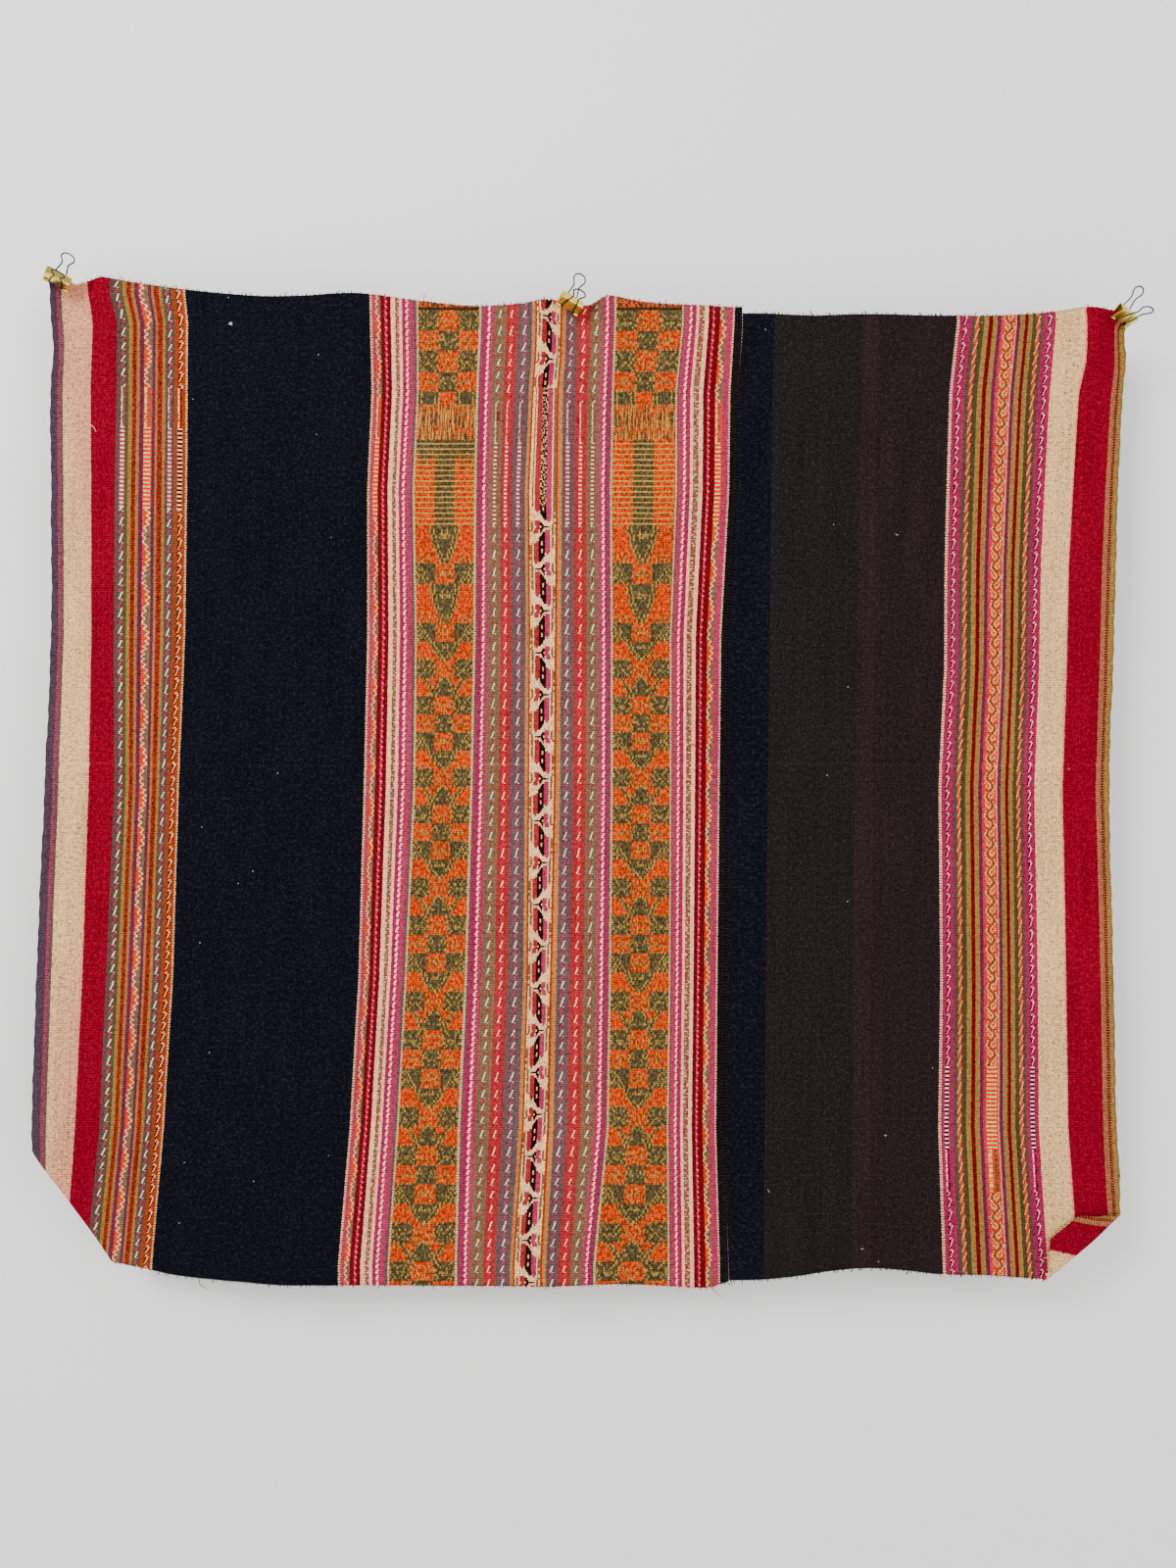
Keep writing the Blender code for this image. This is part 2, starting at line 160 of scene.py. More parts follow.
def linear(hex_colour: str) -> tuple:
    """Turn a colour as it looks on a screen into the numbers that a shader takes.

    Args:
        hex_colour: six hexadecimal digits, red first.

    Returns:
        Red, green, blue and an alpha of one.
    """
    parts = [int(hex_colour[k:k + 2], 16) / 255 for k in (0, 2, 4)]
    return (*(c / 12.92 if c <= 0.04045 else ((c + 0.055) / 1.055) ** 2.4 for c in parts), 1.0)


class Yarn(Enum):
    """The dyed yarns of the cloth, by their colour on a screen."""

    NAVY = "0c0d16"
    BROWN_BLACK = "1d1818"
    DARK_BROWN = "221819"
    WARM_BROWN = "261a1a"
    SELVEDGE = "120e10"
    CRIMSON = "80001c"
    DARK_RED = "6a0612"
    MAGENTA = "a01246"
    ROSE_PINK = "ac284c"
    PLUM = "641e3e"
    RED = "a42426"
    PEACH = "dc9674"
    CREAM = "e8b67a"
    FIELD = "eab87c"
    PINK = "d88870"
    PALE = "f4ba8e"
    ORANGE = "d03c00"
    RUST = "a03002"
    AMBER = "ba7438"
    GOLD = "906c30"
    STRAW = "be8c38"
    OLIVE = "50452a"
    DARK_OLIVE = "463c24"
    MOSS = "70583e"
    GREY_MOSS = "524038"
    PURPLE = "604748"
    DARK_PURPLE = "463440"
    WHITE = "f6cfae"
    BLACK = "1c0a08"
    TAN = "965e3a"
    ROSE = "b82444"

    @property
    def paint(self) -> tuple:
        """The colour in the numbers that a shader takes."""
        return linear(self.value)


class Weave(Enum):
    """How a stripe's warps change along it. The numbers are the codes that the material tells them apart by."""

    PLAIN = 0.0
    TWIST = 0.1
    PLIED = 0.2
    CHAIN = 0.3
    SCROLL = 0.4
    FIELD = 0.5
    HOOK = 0.6
    BEAD = 0.7
    MOTTLE = 0.8
    ROPE = 0.9


class Stripe(NamedTuple):
    """One warp stripe: where it ends, its yarn, its weave, and the two yarns that are figured on it."""

    end: float
    yarn: Yarn
    weave: Weave = Weave.PLAIN
    first: Optional[Yarn] = None
    second: Optional[Yarn] = None


class Band(NamedTuple):
    """A run of stripes read as one, from its start."""

    start: float
    stripes: tuple

    @property
    def end(self) -> float:
        """Where the last stripe ends."""
        return self.stripes[-1].end


def twist(end: float, ground: Yarn, second: Yarn) -> Stripe:
    """A stripe with pale strokes and coloured ones by turns."""
    return Stripe(end, ground, Weave.TWIST, Yarn.WHITE, second)


def plied(end: float, ground: Yarn, first: Yarn = Yarn.WHITE, second: Yarn = Yarn.ROSE_PINK) -> Stripe:
    """A stripe with one plied line down its middle."""
    return Stripe(end, ground, Weave.PLIED, first, second)


def bead(end: float, ground: Yarn = Yarn.BROWN_BLACK, first: Yarn = Yarn.CREAM) -> Stripe:
    """A stripe of small beads on its ground."""
    return Stripe(end, ground, Weave.BEAD, first, first)


def mottle(end: float, ground: Yarn, first: Yarn, second: Yarn) -> Stripe:
    """A stripe whose three yarns come up unevenly."""
    return Stripe(end, ground, Weave.MOTTLE, first, second)


def chain(end: float) -> Stripe:
    """An orange stripe that swings from side to side against olive, with a scalloped cream line between."""
    return Stripe(end, Yarn.ORANGE, Weave.CHAIN, Yarn.FIELD, Yarn.MOSS)


def rope(end: float, ground: Yarn) -> Stripe:
    """An orange rope with slanted cream strokes."""
    return Stripe(end, ground, Weave.ROPE, Yarn.ORANGE, Yarn.CREAM)


def hook(end: float, ground: Yarn) -> Stripe:
    """A row of white hooks edged with black."""
    return Stripe(end, ground, Weave.HOOK, Yarn.WHITE, Yarn.BLACK)


LEFT_BORDER = Band(30.0, (
    Stripe(59.2, Yarn.DARK_PURPLE),
    bead(61.8, Yarn.DARK_PURPLE, Yarn.ROSE_PINK),
    Stripe(64.8, Yarn.PURPLE),
    Stripe(92.0, Yarn.PEACH, Weave.FIELD, Yarn.FIELD, Yarn.GREY_MOSS),
    Stripe(93.2, Yarn.PINK),
    Stripe(117.3, Yarn.CRIMSON),
    Stripe(121.6, Yarn.GREY_MOSS),
    twist(127.0, Yarn.GREY_MOSS, Yarn.ROSE),
    Stripe(130.0, Yarn.OLIVE),
    Stripe(133.4, Yarn.GOLD),
    mottle(138.0, Yarn.DARK_RED, Yarn.RUST, Yarn.RED),
    Stripe(141.5, Yarn.GOLD),
    Stripe(145.4, Yarn.PLUM),
    chain(154.4),
    Stripe(157.6, Yarn.PLUM),
    Stripe(160.4, Yarn.GOLD),
    mottle(165.2, Yarn.DARK_RED, Yarn.RUST, Yarn.RED),
    Stripe(168.2, Yarn.GOLD),
    Stripe(170.8, Yarn.GREY_MOSS),
    twist(175.4, Yarn.GREY_MOSS, Yarn.ROSE),
    Stripe(177.8, Yarn.GREY_MOSS),
    Stripe(180.6, Yarn.RUST),
    hook(186.6, Yarn.RUST),
    Stripe(189.2, Yarn.RUST),
    bead(191.3),
))
NAVY_GROUND = Band(191.3, (Stripe(377.8, Yarn.NAVY),))
CENTRE_LEFT = Band(377.8, (
    bead(379.7),
    Stripe(383.2, Yarn.ROSE_PINK),
    chain(388.6),
    Stripe(392.2, Yarn.DARK_RED),
    plied(395.6, Yarn.DARK_RED, Yarn.ROSE, Yarn.PINK),
    Stripe(399.0, Yarn.DARK_RED),
    Stripe(403.0, Yarn.PALE),
    mottle(407.2, Yarn.MOSS, Yarn.RED, Yarn.CREAM),
    Stripe(410.2, Yarn.PALE),
    Stripe(413.6, Yarn.MAGENTA),
    plied(417.2, Yarn.MAGENTA),
    Stripe(421.8, Yarn.ROSE_PINK),
    Stripe(425.0, Yarn.PURPLE),
    bead(427.0, Yarn.MOSS),
    Stripe(489.0, Yarn.OLIVE),
))
CENTRE_INNER_LEFT = Band(489.0, (
    bead(491.0, Yarn.MOSS),
    Stripe(493.4, Yarn.PURPLE),
    Stripe(497.6, Yarn.MAGENTA),
    plied(501.2, Yarn.MAGENTA),
    Stripe(504.4, Yarn.ROSE_PINK),
    Stripe(508.6, Yarn.MOSS),
    twist(512.6, Yarn.MOSS, Yarn.RED),
    Stripe(516.9, Yarn.MOSS),
    Stripe(520.4, Yarn.RED),
    twist(524.2, Yarn.RED, Yarn.ROSE),
    Stripe(528.3, Yarn.RED),
    Stripe(533.7, Yarn.PURPLE),
    twist(538.0, Yarn.PURPLE, Yarn.ROSE),
    Stripe(543.2, Yarn.PURPLE),
    Stripe(546.2, Yarn.AMBER),
    Stripe(548.2, Yarn.RUST),
    Stripe(572.0, Yarn.CREAM),
))
CENTRE_INNER_RIGHT = Band(572.0, (
    Stripe(574.2, Yarn.RUST),
    Stripe(578.0, Yarn.AMBER),
    Stripe(581.6, Yarn.PURPLE),
    twist(586.0, Yarn.PURPLE, Yarn.ROSE),
    Stripe(590.4, Yarn.PURPLE),
    Stripe(594.6, Yarn.RED),
    twist(598.4, Yarn.RED, Yarn.ROSE),
    Stripe(602.6, Yarn.RED),
    Stripe(606.6, Yarn.MOSS),
    twist(610.4, Yarn.MOSS, Yarn.RED),
    Stripe(614.4, Yarn.MOSS),
    Stripe(617.8, Yarn.ROSE_PINK),
    plied(621.2, Yarn.MAGENTA),
    Stripe(624.4, Yarn.MAGENTA),
    Stripe(626.4, Yarn.PURPLE),
    bead(628.4, Yarn.MOSS),
))
CENTRE_RIGHT = Band(628.4, (
    Stripe(695.0, Yarn.OLIVE),
    bead(697.0, Yarn.MOSS),
    Stripe(698.8, Yarn.PURPLE),
    Stripe(703.0, Yarn.ROSE_PINK),
    plied(706.4, Yarn.MAGENTA),
    Stripe(710.2, Yarn.MAGENTA),
    Stripe(713.0, Yarn.PALE),
    mottle(718.6, Yarn.MOSS, Yarn.RED, Yarn.CREAM),
    Stripe(722.6, Yarn.PALE),
    Stripe(726.4, Yarn.DARK_RED),
    plied(729.8, Yarn.DARK_RED, Yarn.ROSE, Yarn.PINK),
    Stripe(734.4, Yarn.DARK_RED),
    chain(741.4),
    Stripe(747.8, Yarn.ROSE_PINK),
    bead(749.8, Yarn.BROWN_BLACK, Yarn.PALE),
    Stripe(775.0, Yarn.SELVEDGE),
))
DARK_GROUND = Band(740.0, (
    Stripe(790.0, Yarn.NAVY),
    Stripe(879.0, Yarn.BROWN_BLACK),
    Stripe(895.0, Yarn.WARM_BROWN),
    Stripe(970.0, Yarn.DARK_BROWN),
))
RIGHT_BORDER_INNER = Band(970.0, (
    bead(972.6, Yarn.BROWN_BLACK, Yarn.PALE),
    Stripe(975.8, Yarn.MAGENTA),
    hook(980.9, Yarn.MAGENTA),
    Stripe(984.6, Yarn.MAGENTA),
    Stripe(988.8, Yarn.GREY_MOSS),
    rope(993.4, Yarn.DARK_OLIVE),
    Stripe(997.7, Yarn.DARK_OLIVE),
    Stripe(1002.6, Yarn.GOLD),
    Stripe(1006.8, Yarn.DARK_RED),
    Stripe(1011.6, Yarn.GOLD),
    Stripe(1014.9, Yarn.PLUM),
    Stripe(1017.3, Yarn.ROSE),
    Stripe(1030.0, Yarn.ORANGE, Weave.SCROLL, Yarn.CREAM, Yarn.OLIVE),
    Stripe(1031.4, Yarn.PINK),
    Stripe(1034.7, Yarn.PLUM),
    Stripe(1039.6, Yarn.GOLD),
    Stripe(1043.0, Yarn.DARK_RED),
    Stripe(1047.4, Yarn.GOLD),
    Stripe(1051.5, Yarn.DARK_OLIVE),
))
RIGHT_BORDER_OUTER = Band(1051.5, (
    rope(1055.9, Yarn.DARK_OLIVE),
    Stripe(1059.0, Yarn.GREY_MOSS),
    Stripe(1062.2, Yarn.MAGENTA),
    hook(1067.2, Yarn.MAGENTA),
    Stripe(1070.8, Yarn.MAGENTA),
    Stripe(1099.0, Yarn.CREAM, Weave.FIELD, Yarn.FIELD, Yarn.OLIVE),
    Stripe(1100.2, Yarn.PINK),
    Stripe(1133.0, Yarn.CRIMSON),
    Stripe(1137.8, Yarn.TAN),
    bead(1140.4, Yarn.TAN, Yarn.DARK_RED),
    Stripe(1180.0, Yarn.GOLD),
))


@dataclass(frozen=True)
class StripeLines:
    """Where the lines between a panel's main stripes run, at several heights of the photograph."""

    reading: tuple
    heights: tuple
    rows: tuple

    def across(self, x: Array, down: Array) -> Array:
        """Find the pattern length across the threads.

        Args:
            x: places across the photograph.
            down: places down it.

        Returns:
            The pattern length at each place, equal to the reading on every line.
        """
        grid = np.array(self.rows, float)
        lines = np.stack([np.interp(down, self.heights, grid[:, k]) for k in range(grid.shape[1])])
        out = self.reading[0] + (x - lines[0])
        for k in range(len(self.reading) - 1):
            share = (x - lines[k]) / (lines[k + 1] - lines[k])
            here = self.reading[k] + share * (self.reading[k + 1] - self.reading[k])
            out = np.where(x >= lines[k], here, out)
        return np.where(x >= lines[-1], self.reading[-1] + (x - lines[-1]), out)


LEFT_LINES = StripeLines(
    (54, 92.7, 117.3, 191, 377.8, 427, 489, 548, 572, 628, 695, 749.5, 758),
    (300, 330, 400, 500, 650, 800, 1000, 1150, 1290),
    (
        (55.0, 90.0, 112.0, 189.0, 377.0, 427.0, 489.5, 548.0, 572.0, 628.5, 696.0, 750.0, 758.0),
        (57.0, 94.0, 119.5, 192.0, 377.8, 427.0, 489.0, 548.0, 572.0, 628.5, 695.5, 749.0, 757.5),
        (53.3, 91.6, 119.0, 191.3, 379.5, 427.5, 486.0, 544.5, 568.0, 626.0, 688.5, 744.8, 753.0),
        (54.0, 92.7, 117.3, 191.0, 375.0, 423.0, 484.0, 540.0, 567.0, 624.0, 688.5, 743.5, 752.0),
        (54.0, 93.0, 116.0, 189.0, 375.0, 425.5, 483.0, 541.0, 566.0, 625.0, 683.0, 735.2, 743.5),
        (48.0, 90.0, 117.3, 182.7, 371.5, 424.0, 480.0, 540.0, 565.0, 625.0, 683.0, 733.6, 742.0),
        (40.0, 83.3, 108.3, 176.4, 366.0, 415.0, 474.0, 539.0, 561.0, 623.0, 682.0, 731.5, 740.0),
        (35.6, 76.0, 102.0, 167.0, 357.0, 407.0, 467.0, 534.5, 558.0, 621.0, 680.0, 730.0, 738.5),
        (36.5, 66.0, 88.0, 155.0, 345.0, 397.5, 464.0, 525.0, 551.0, 607.0, 681.0, 734.0, 744.0),
    ),
)
RIGHT_LINES = StripeLines(
    (758, 790, 879, 895, 970, 1100, 1145),
    (330, 400, 500, 570, 680, 800, 1000, 1150, 1300),
    (
        (757.5, 790, 879, 895, 976, 1106, 1150),
        (753.0, 788, 878, 894, 968.5, 1100, 1145),
        (752.0, 787, 876, 893, 965.5, 1094, 1139),
        (747.8, 786, 875, 892, 963.8, 1090, 1136.6),
        (743.2, 784.6, 873.6, 890.8, 963.3, 1087.6, 1133.5),
        (742.0, 783, 872, 890, 957.5, 1083, 1129.5),
        (740.0, 781, 870, 888, 959, 1087, 1135),
        (738.5, 780, 869, 887, 957, 1089, 1138),
        (745.0, 779, 868, 887, 962, 1100, 1145),
    ),
)


class Clip(NamedTuple):
    """One clip: the middle of its lips, how it is turned, and how far the cloth goes in."""

    name: str
    x: float
    drop: float
    forward: float
    turn: float
    slope: float
    body: float
    back_wire: float
    front_wire: float
    sway: float
    grip: float


CLIPS = {
    "left": Clip("clip_left", -546.5, 7.0, 9.0, 30.0, 21.0, 69.0, -8.0, 90.5, 0.0, 5.0),
    "middle": Clip("clip_middle", -13.3, 31.6, 6.0, 22.0, 22.0, 58.0, 10.5, 80.5, 0.0, 5.5),
    "right": Clip("clip_right", 562.5, 45.0, 8.0, 30.0, 14.0, 64.0, 28.0, 88.0, 0.2, 7.0),
}


class CornerFold(NamedTuple):
    """A corner turned over: where the fold starts, measured from the corner, and which way it goes."""

    u_side: float
    angle: float
    from_corner: float
    radius: float
    side: float

    def line(self, width: float) -> tuple:
        """The way over the fold, across and down the flat panel, and how far across it the corner is."""
        angle = math.radians(self.angle)
        return self.u_side * math.cos(angle), math.sin(angle), width if self.u_side > 0 else 0.0


BACK_FOLD = CornerFold(-1.0, 34.6, 67.0, 3.2, -1.0)
FRONT_FOLD = CornerFold(1.0, 45.0, 55.0, 3.2, 1.0)
TIP_FOLD = CornerFold(1.0, 45.0, 21.0, 1.4, 1.0)


def dense_table(rows: Sequence[tuple], at: Array) -> list:
    """Read a table's columns along a smooth curve through its rows.

    Args:
        rows: the table, with its places in the first column.
        at: the places to read it at.

    Returns:
        One array for each other column.
    """
    table = np.array(rows, float)
    keys, values = table[:, 0], table[:, 1:]
    slopes = np.empty_like(values)
    for i in range(len(keys)):
        low, high = max(i - 1, 0), min(i + 1, len(keys) - 1)
        slopes[i] = (values[high] - values[low]) / (keys[high] - keys[low])
    at = np.clip(at, keys[0], keys[-1])
    k = np.clip(np.searchsorted(keys, at, side="right") - 1, 0, len(keys) - 2)
    span = keys[k + 1] - keys[k]
    t = (at - keys[k]) / span
    return [
        values[k, c] * (1 + 2 * t) * (1 - t) ** 2 + slopes[k, c] * span * t * (1 - t) ** 2
        + values[k + 1, c] * t * t * (3 - 2 * t) + slopes[k + 1, c] * span * t * t * (t - 1)
        for c in range(values.shape[1])
    ]


def soft_depth(x: Array, drop: Array) -> Array:
    """How far the hanging cloth stands forward of its plane, from the long soft folds."""
    down = np.clip(drop / CLOTH_LENGTH, 0.0, 1.0)
    total = np.zeros_like(x)
    for row in SOFT_FOLDS:
        centre = row.x_top + (row.x_hem - row.x_top) * down
        out = (
            row.out_top * (1 - down) * (1 - 2 * down)
            + row.out_middle * 4 * down * (1 - down)
            + row.out_hem * down * (2 * down - 1)
        )
        total += out * np.exp(-(((x - centre) / row.half_width) ** 2))
    return total


@dataclass(frozen=True)
class Crumple:
    """The small relief left in the cloth: the old fold line across it, and the slight ripple of its warps."""

    line_drop: float = 509.0
    line_depth: float = 2.4
    line_half: float = 3.2
    shoulder: float = 26.0
    ripple: float = 0.55

    def depth(self, x: Array, drop: Array) -> Array:
        """Find how far forward the relief takes each place.

        Args:
            x: places across the hanging cloth.
            drop: places down it.

        Returns:
            The forward distance, which is negative in the trough of the fold line.
        """
        wander = 1.25 * np.sin(x / 61 + 0.7)
        off = drop - self.line_drop - wander
        uneven = 0.72 + 0.28 * np.sin(x / 47 + 1.1)
        trough = -self.line_depth * np.exp(-((off / self.line_half) ** 2)) * uneven
        rise = 0.9 * np.exp(-((off / self.shoulder) ** 2))
        warps = (
            np.sin(x / 8.7 + 0.012 * drop) + 0.7 * np.sin(x / 5.3 + 1.9 + 0.006 * drop)
            + 0.9 * np.sin(x / 17.0 + 0.8 + 0.9 * np.sin(drop / 83))
        )
        wefts = 0.5 * np.sin(drop / 31 + 0.6 * np.sin(x / 44)) + 0.35 * np.sin(drop / 12.7 + x / 95)
        return trough + rise + self.ripple * (warps * 0.42 + wefts * 0.6)


class ClipFrame:
    """The directions of one clip: along its lips, and leaning forward from upright about them."""

    width = 25.0
    jaw_length = 13.2
    spine = 11.6
    sheet = 0.6
    mouth = 2.2
    lug_radius = 1.3
    lip_straight = 2.2
    droop = 7.0

    def __init__(self, clip: Clip) -> None:
        """Work out a clip's directions from its row of the table."""
        turn, slope = math.radians(clip.turn), math.radians(clip.slope)
        self.clip = clip
        self.lips = Vector((math.cos(turn) * math.cos(slope), math.sin(turn) * math.cos(slope), -math.sin(slope)))
        self.up = (Vector((0, 0, 1)) - self.lips * self.lips.z).normalized()
        self.out = self.lips.cross(self.up)
        self.centre = DATUM + Vector((clip.x, -clip.forward, -clip.drop))
        self.body = math.radians(clip.body)
        self.jaw_lean = math.asin((self.spine - self.mouth - self.sheet) / 2 / self.jaw_length)

    def lean(self, angle: float) -> Vector:
        """The direction that leans forward by an angle."""
        return self.up * math.cos(angle) + self.out * math.sin(angle)

    def point(self, along: float, offset: Vector) -> Vector:
        """A place from its distance along the lips and its offset across them."""
        return self.centre + self.lips * along + offset

    def lug_centre(self, jaw: int) -> Vector:
        """The middle of a jaw's rolled lugs. jaw is 1 for the front one and -1 for the back."""
        side = self.lean(self.body + jaw * math.pi / 2) * ((self.mouth + self.sheet) / 2)
        return side + self.lean(self.body + jaw * (self.jaw_lean + math.pi / 2)) * self.lug_radius

    def held(self, along: Array, past: Array) -> Array:
        """Find where the clip holds the cloth.

        Args:
            along: distances along the lips.
            past: lengths past the lips, negative inside them.

        Returns:
            The held places, one row each.
        """
        up, out = np.array(self.up), np.array(self.out)
        over = past - self.lip_straight
        angle = np.maximum(self.body - np.maximum(over, 0) / self.droop, 0.0)
        below = np.maximum(over - self.body * self.droop, 0.0)
        bend_up = (math.sin(self.body) - np.sin(angle)) * self.droop + below
        bend_out = (np.cos(angle) - math.cos(self.body)) * self.droop
        inward = np.where(over <= 0, -past, -self.lip_straight)
        rise = inward * math.cos(self.body) - bend_up
        reach = inward * math.sin(self.body) - bend_out
        return np.array(self.centre) + np.outer(along, np.array(self.lips)) + np.outer(rise, up) + np.outer(reach, out)


CLIP_FRAMES = {key: ClipFrame(clip) for key, clip in CLIPS.items()}


@dataclass(frozen=True)
class PanelForm:
    """One loom panel's flat size, the columns that it hangs between, its ends, its folds and its clips."""

    name: str
    width: float
    length: float
    columns: int
    rows: int
    left: int
    right: int
    inset_left: float
    inset_right: float
    ends: tuple
    folds: tuple
    clips: tuple
    lines: StripeLines
    crumple: Crumple = Crumple()
    step: float = 0.5
    grip_half: float = 14.0
    grip_depth: float = 9.0
    fade_side: float = 26.0
    fade_down: float = 85.0

    def plain_place(self, u: Array, v: Array) -> tuple:
        """Find where flat points hang, as distances right and down.

        Args:
            u: places across the flat panel.
            v: places down it.

        Returns:
            The distance right and the distance down.
        """
        across = u / self.width
        top, hem = dense_table(self.ends, across)
        drop = top + (hem - top) * v / self.length
        sides = dense_table(SIDES, drop)
        left, right = sides[self.left] + self.inset_left, sides[self.right] - self.inset_right
        return left + (right - left) * across, drop

    def lip_lengths(self, clip: Clip, u: Array, v: Array) -> tuple:
        """Measure flat points from a clip.

        Args:
            clip: the clip.
            u: places across the flat panel.
            v: places down it.

        Returns:
            The distances along the clip's lips and the lengths past them.
        """
        sides = dense_table(SIDES, np.array([clip.drop]))
        left, right = sides[self.left][0], sides[self.right][0]
        grip_u = (clip.x - left) / (right - left) * self.width
        slope = math.radians(clip.slope)
        along = (u - grip_u) * math.cos(slope) + (v - clip.grip) * math.sin(slope)
        past = (v - clip.grip) * math.cos(slope) - (u - grip_u) * math.sin(slope)
        return along, past

    def hung(self, u: Array, v: Array) -> Array:
        """Find where flat points hang, with the clips' hold on them, one row each."""
        x, drop = self.plain_place(u, v)
        fade = np.clip(drop / 60, 0, 1)
        depth = soft_depth(x, drop) + self.crumple.depth(x, drop) * fade
        place = np.stack([DATUM.x + x, DATUM.y - depth, DATUM.z - drop], axis=1)
        for key in self.clips:
            along, past = self.lip_lengths(CLIPS[key], u, v)
            side = np.maximum(np.abs(along) - self.grip_half, 0) / self.fade_side
            down = np.maximum(past - self.grip_depth, 0) / self.fade_down
            away = np.minimum(np.hypot(side, down), 1.0)
            hold = (1 - away * away * (3 - 2 * away))[:, None]
            place = place * (1 - hold) + CLIP_FRAMES[key].held(along, past) * hold
        return place

    def folded(self, u: Array, v: Array, h: Array) -> tuple:
        """Turn flat points over the corner folds.

        Args:
            u: places across the flat panel.
            v: places down it.
            h: heights out of its front.

        Returns:
            The three lengths after the folds.
        """
        for fold in self.folds:
            across, down, corner = fold.line(self.width)
            past = (u - corner) * across + (v - self.length) * down + fold.from_corner
            half_turn = math.pi * fold.radius
            phi = np.clip(past / fold.radius, 0, math.pi)
            arm = fold.radius - fold.side * h
            round_moved, round_high = arm * np.sin(phi), fold.side * (fold.radius - arm * np.cos(phi))
            moved = np.where(past < half_turn, round_moved, half_turn - past)
            high = np.where(past < half_turn, round_high, fold.side * 2 * fold.radius - h)
            turned = past > 0
            u = np.where(turned, u + (moved - past) * across, u)
            v = np.where(turned, v + (moved - past) * down, v)
            h = np.where(turned, high, h)
        return u, v, h

    def draped(self, u: Array, v: Array, h: Array) -> Array:
        """Find where points of the flat, thick panel end up, in millimetres, one row each."""
        u, v, h = self.folded(u, v, h)
        place = self.hung(u, v)
        side = self.hung(u + self.step, v) - self.hung(u - self.step, v)
        down = self.hung(u, v + self.step) - self.hung(u, v - self.step)
        normal = np.cross(down, side)
        normal /= np.linalg.norm(normal, axis=1)[:, None]
        return place + normal * h[:, None]

    def pattern_place(self, u: Array, v: Array) -> tuple:
        """Find the pattern lengths of flat points.

        Args:
            u: places across the flat panel.
            v: places down it.

        Returns:
            The pattern length across the threads, and the one along them.
        """
        x, drop = self.plain_place(u, v)
        nearer = EYE_DISTANCE / (EYE_DISTANCE - soft_depth(x, drop))
        across = MIDDLE_ACROSS + (ZERO_ACROSS + x / UNIT - MIDDLE_ACROSS) * nearer
        down = MIDDLE_DOWN + (ZERO_DOWN + drop / UNIT - MIDDLE_DOWN) * nearer
        return self.lines.across(across, down), down

    def flat_place(self, across: Array, down: Array) -> tuple:
        """Find the flat points that hang at places of the photograph.

        Args:
            across: places across the photograph.
            down: places down it.

        Returns:
            The places across the flat panel, and down it.
        """
        x, drop = (across - ZERO_ACROSS) * UNIT, (down - ZERO_DOWN) * UNIT
        sides = dense_table(SIDES, drop)
        left, right = sides[self.left], sides[self.right]
        share = (x - left) / (right - left)
        top, hem = dense_table(self.ends, share)
        return share * self.width, (drop - top) / (hem - top) * self.length


LEFT_FORM = PanelForm(
    "left_panel", 722.0, 1032.0, 172, 246, 0, 1, 0.0, SEAM_GAP / 2, LEFT_ENDS, (BACK_FOLD,), ("left", "middle"),
    LEFT_LINES,
)
RIGHT_FORM = PanelForm(
    "right_panel", 405.0, 1012.0, 120, 296, 1, 2, SEAM_GAP / 2, 0.0, RIGHT_ENDS, (TIP_FOLD, FRONT_FOLD), ("right",),
    RIGHT_LINES,
)


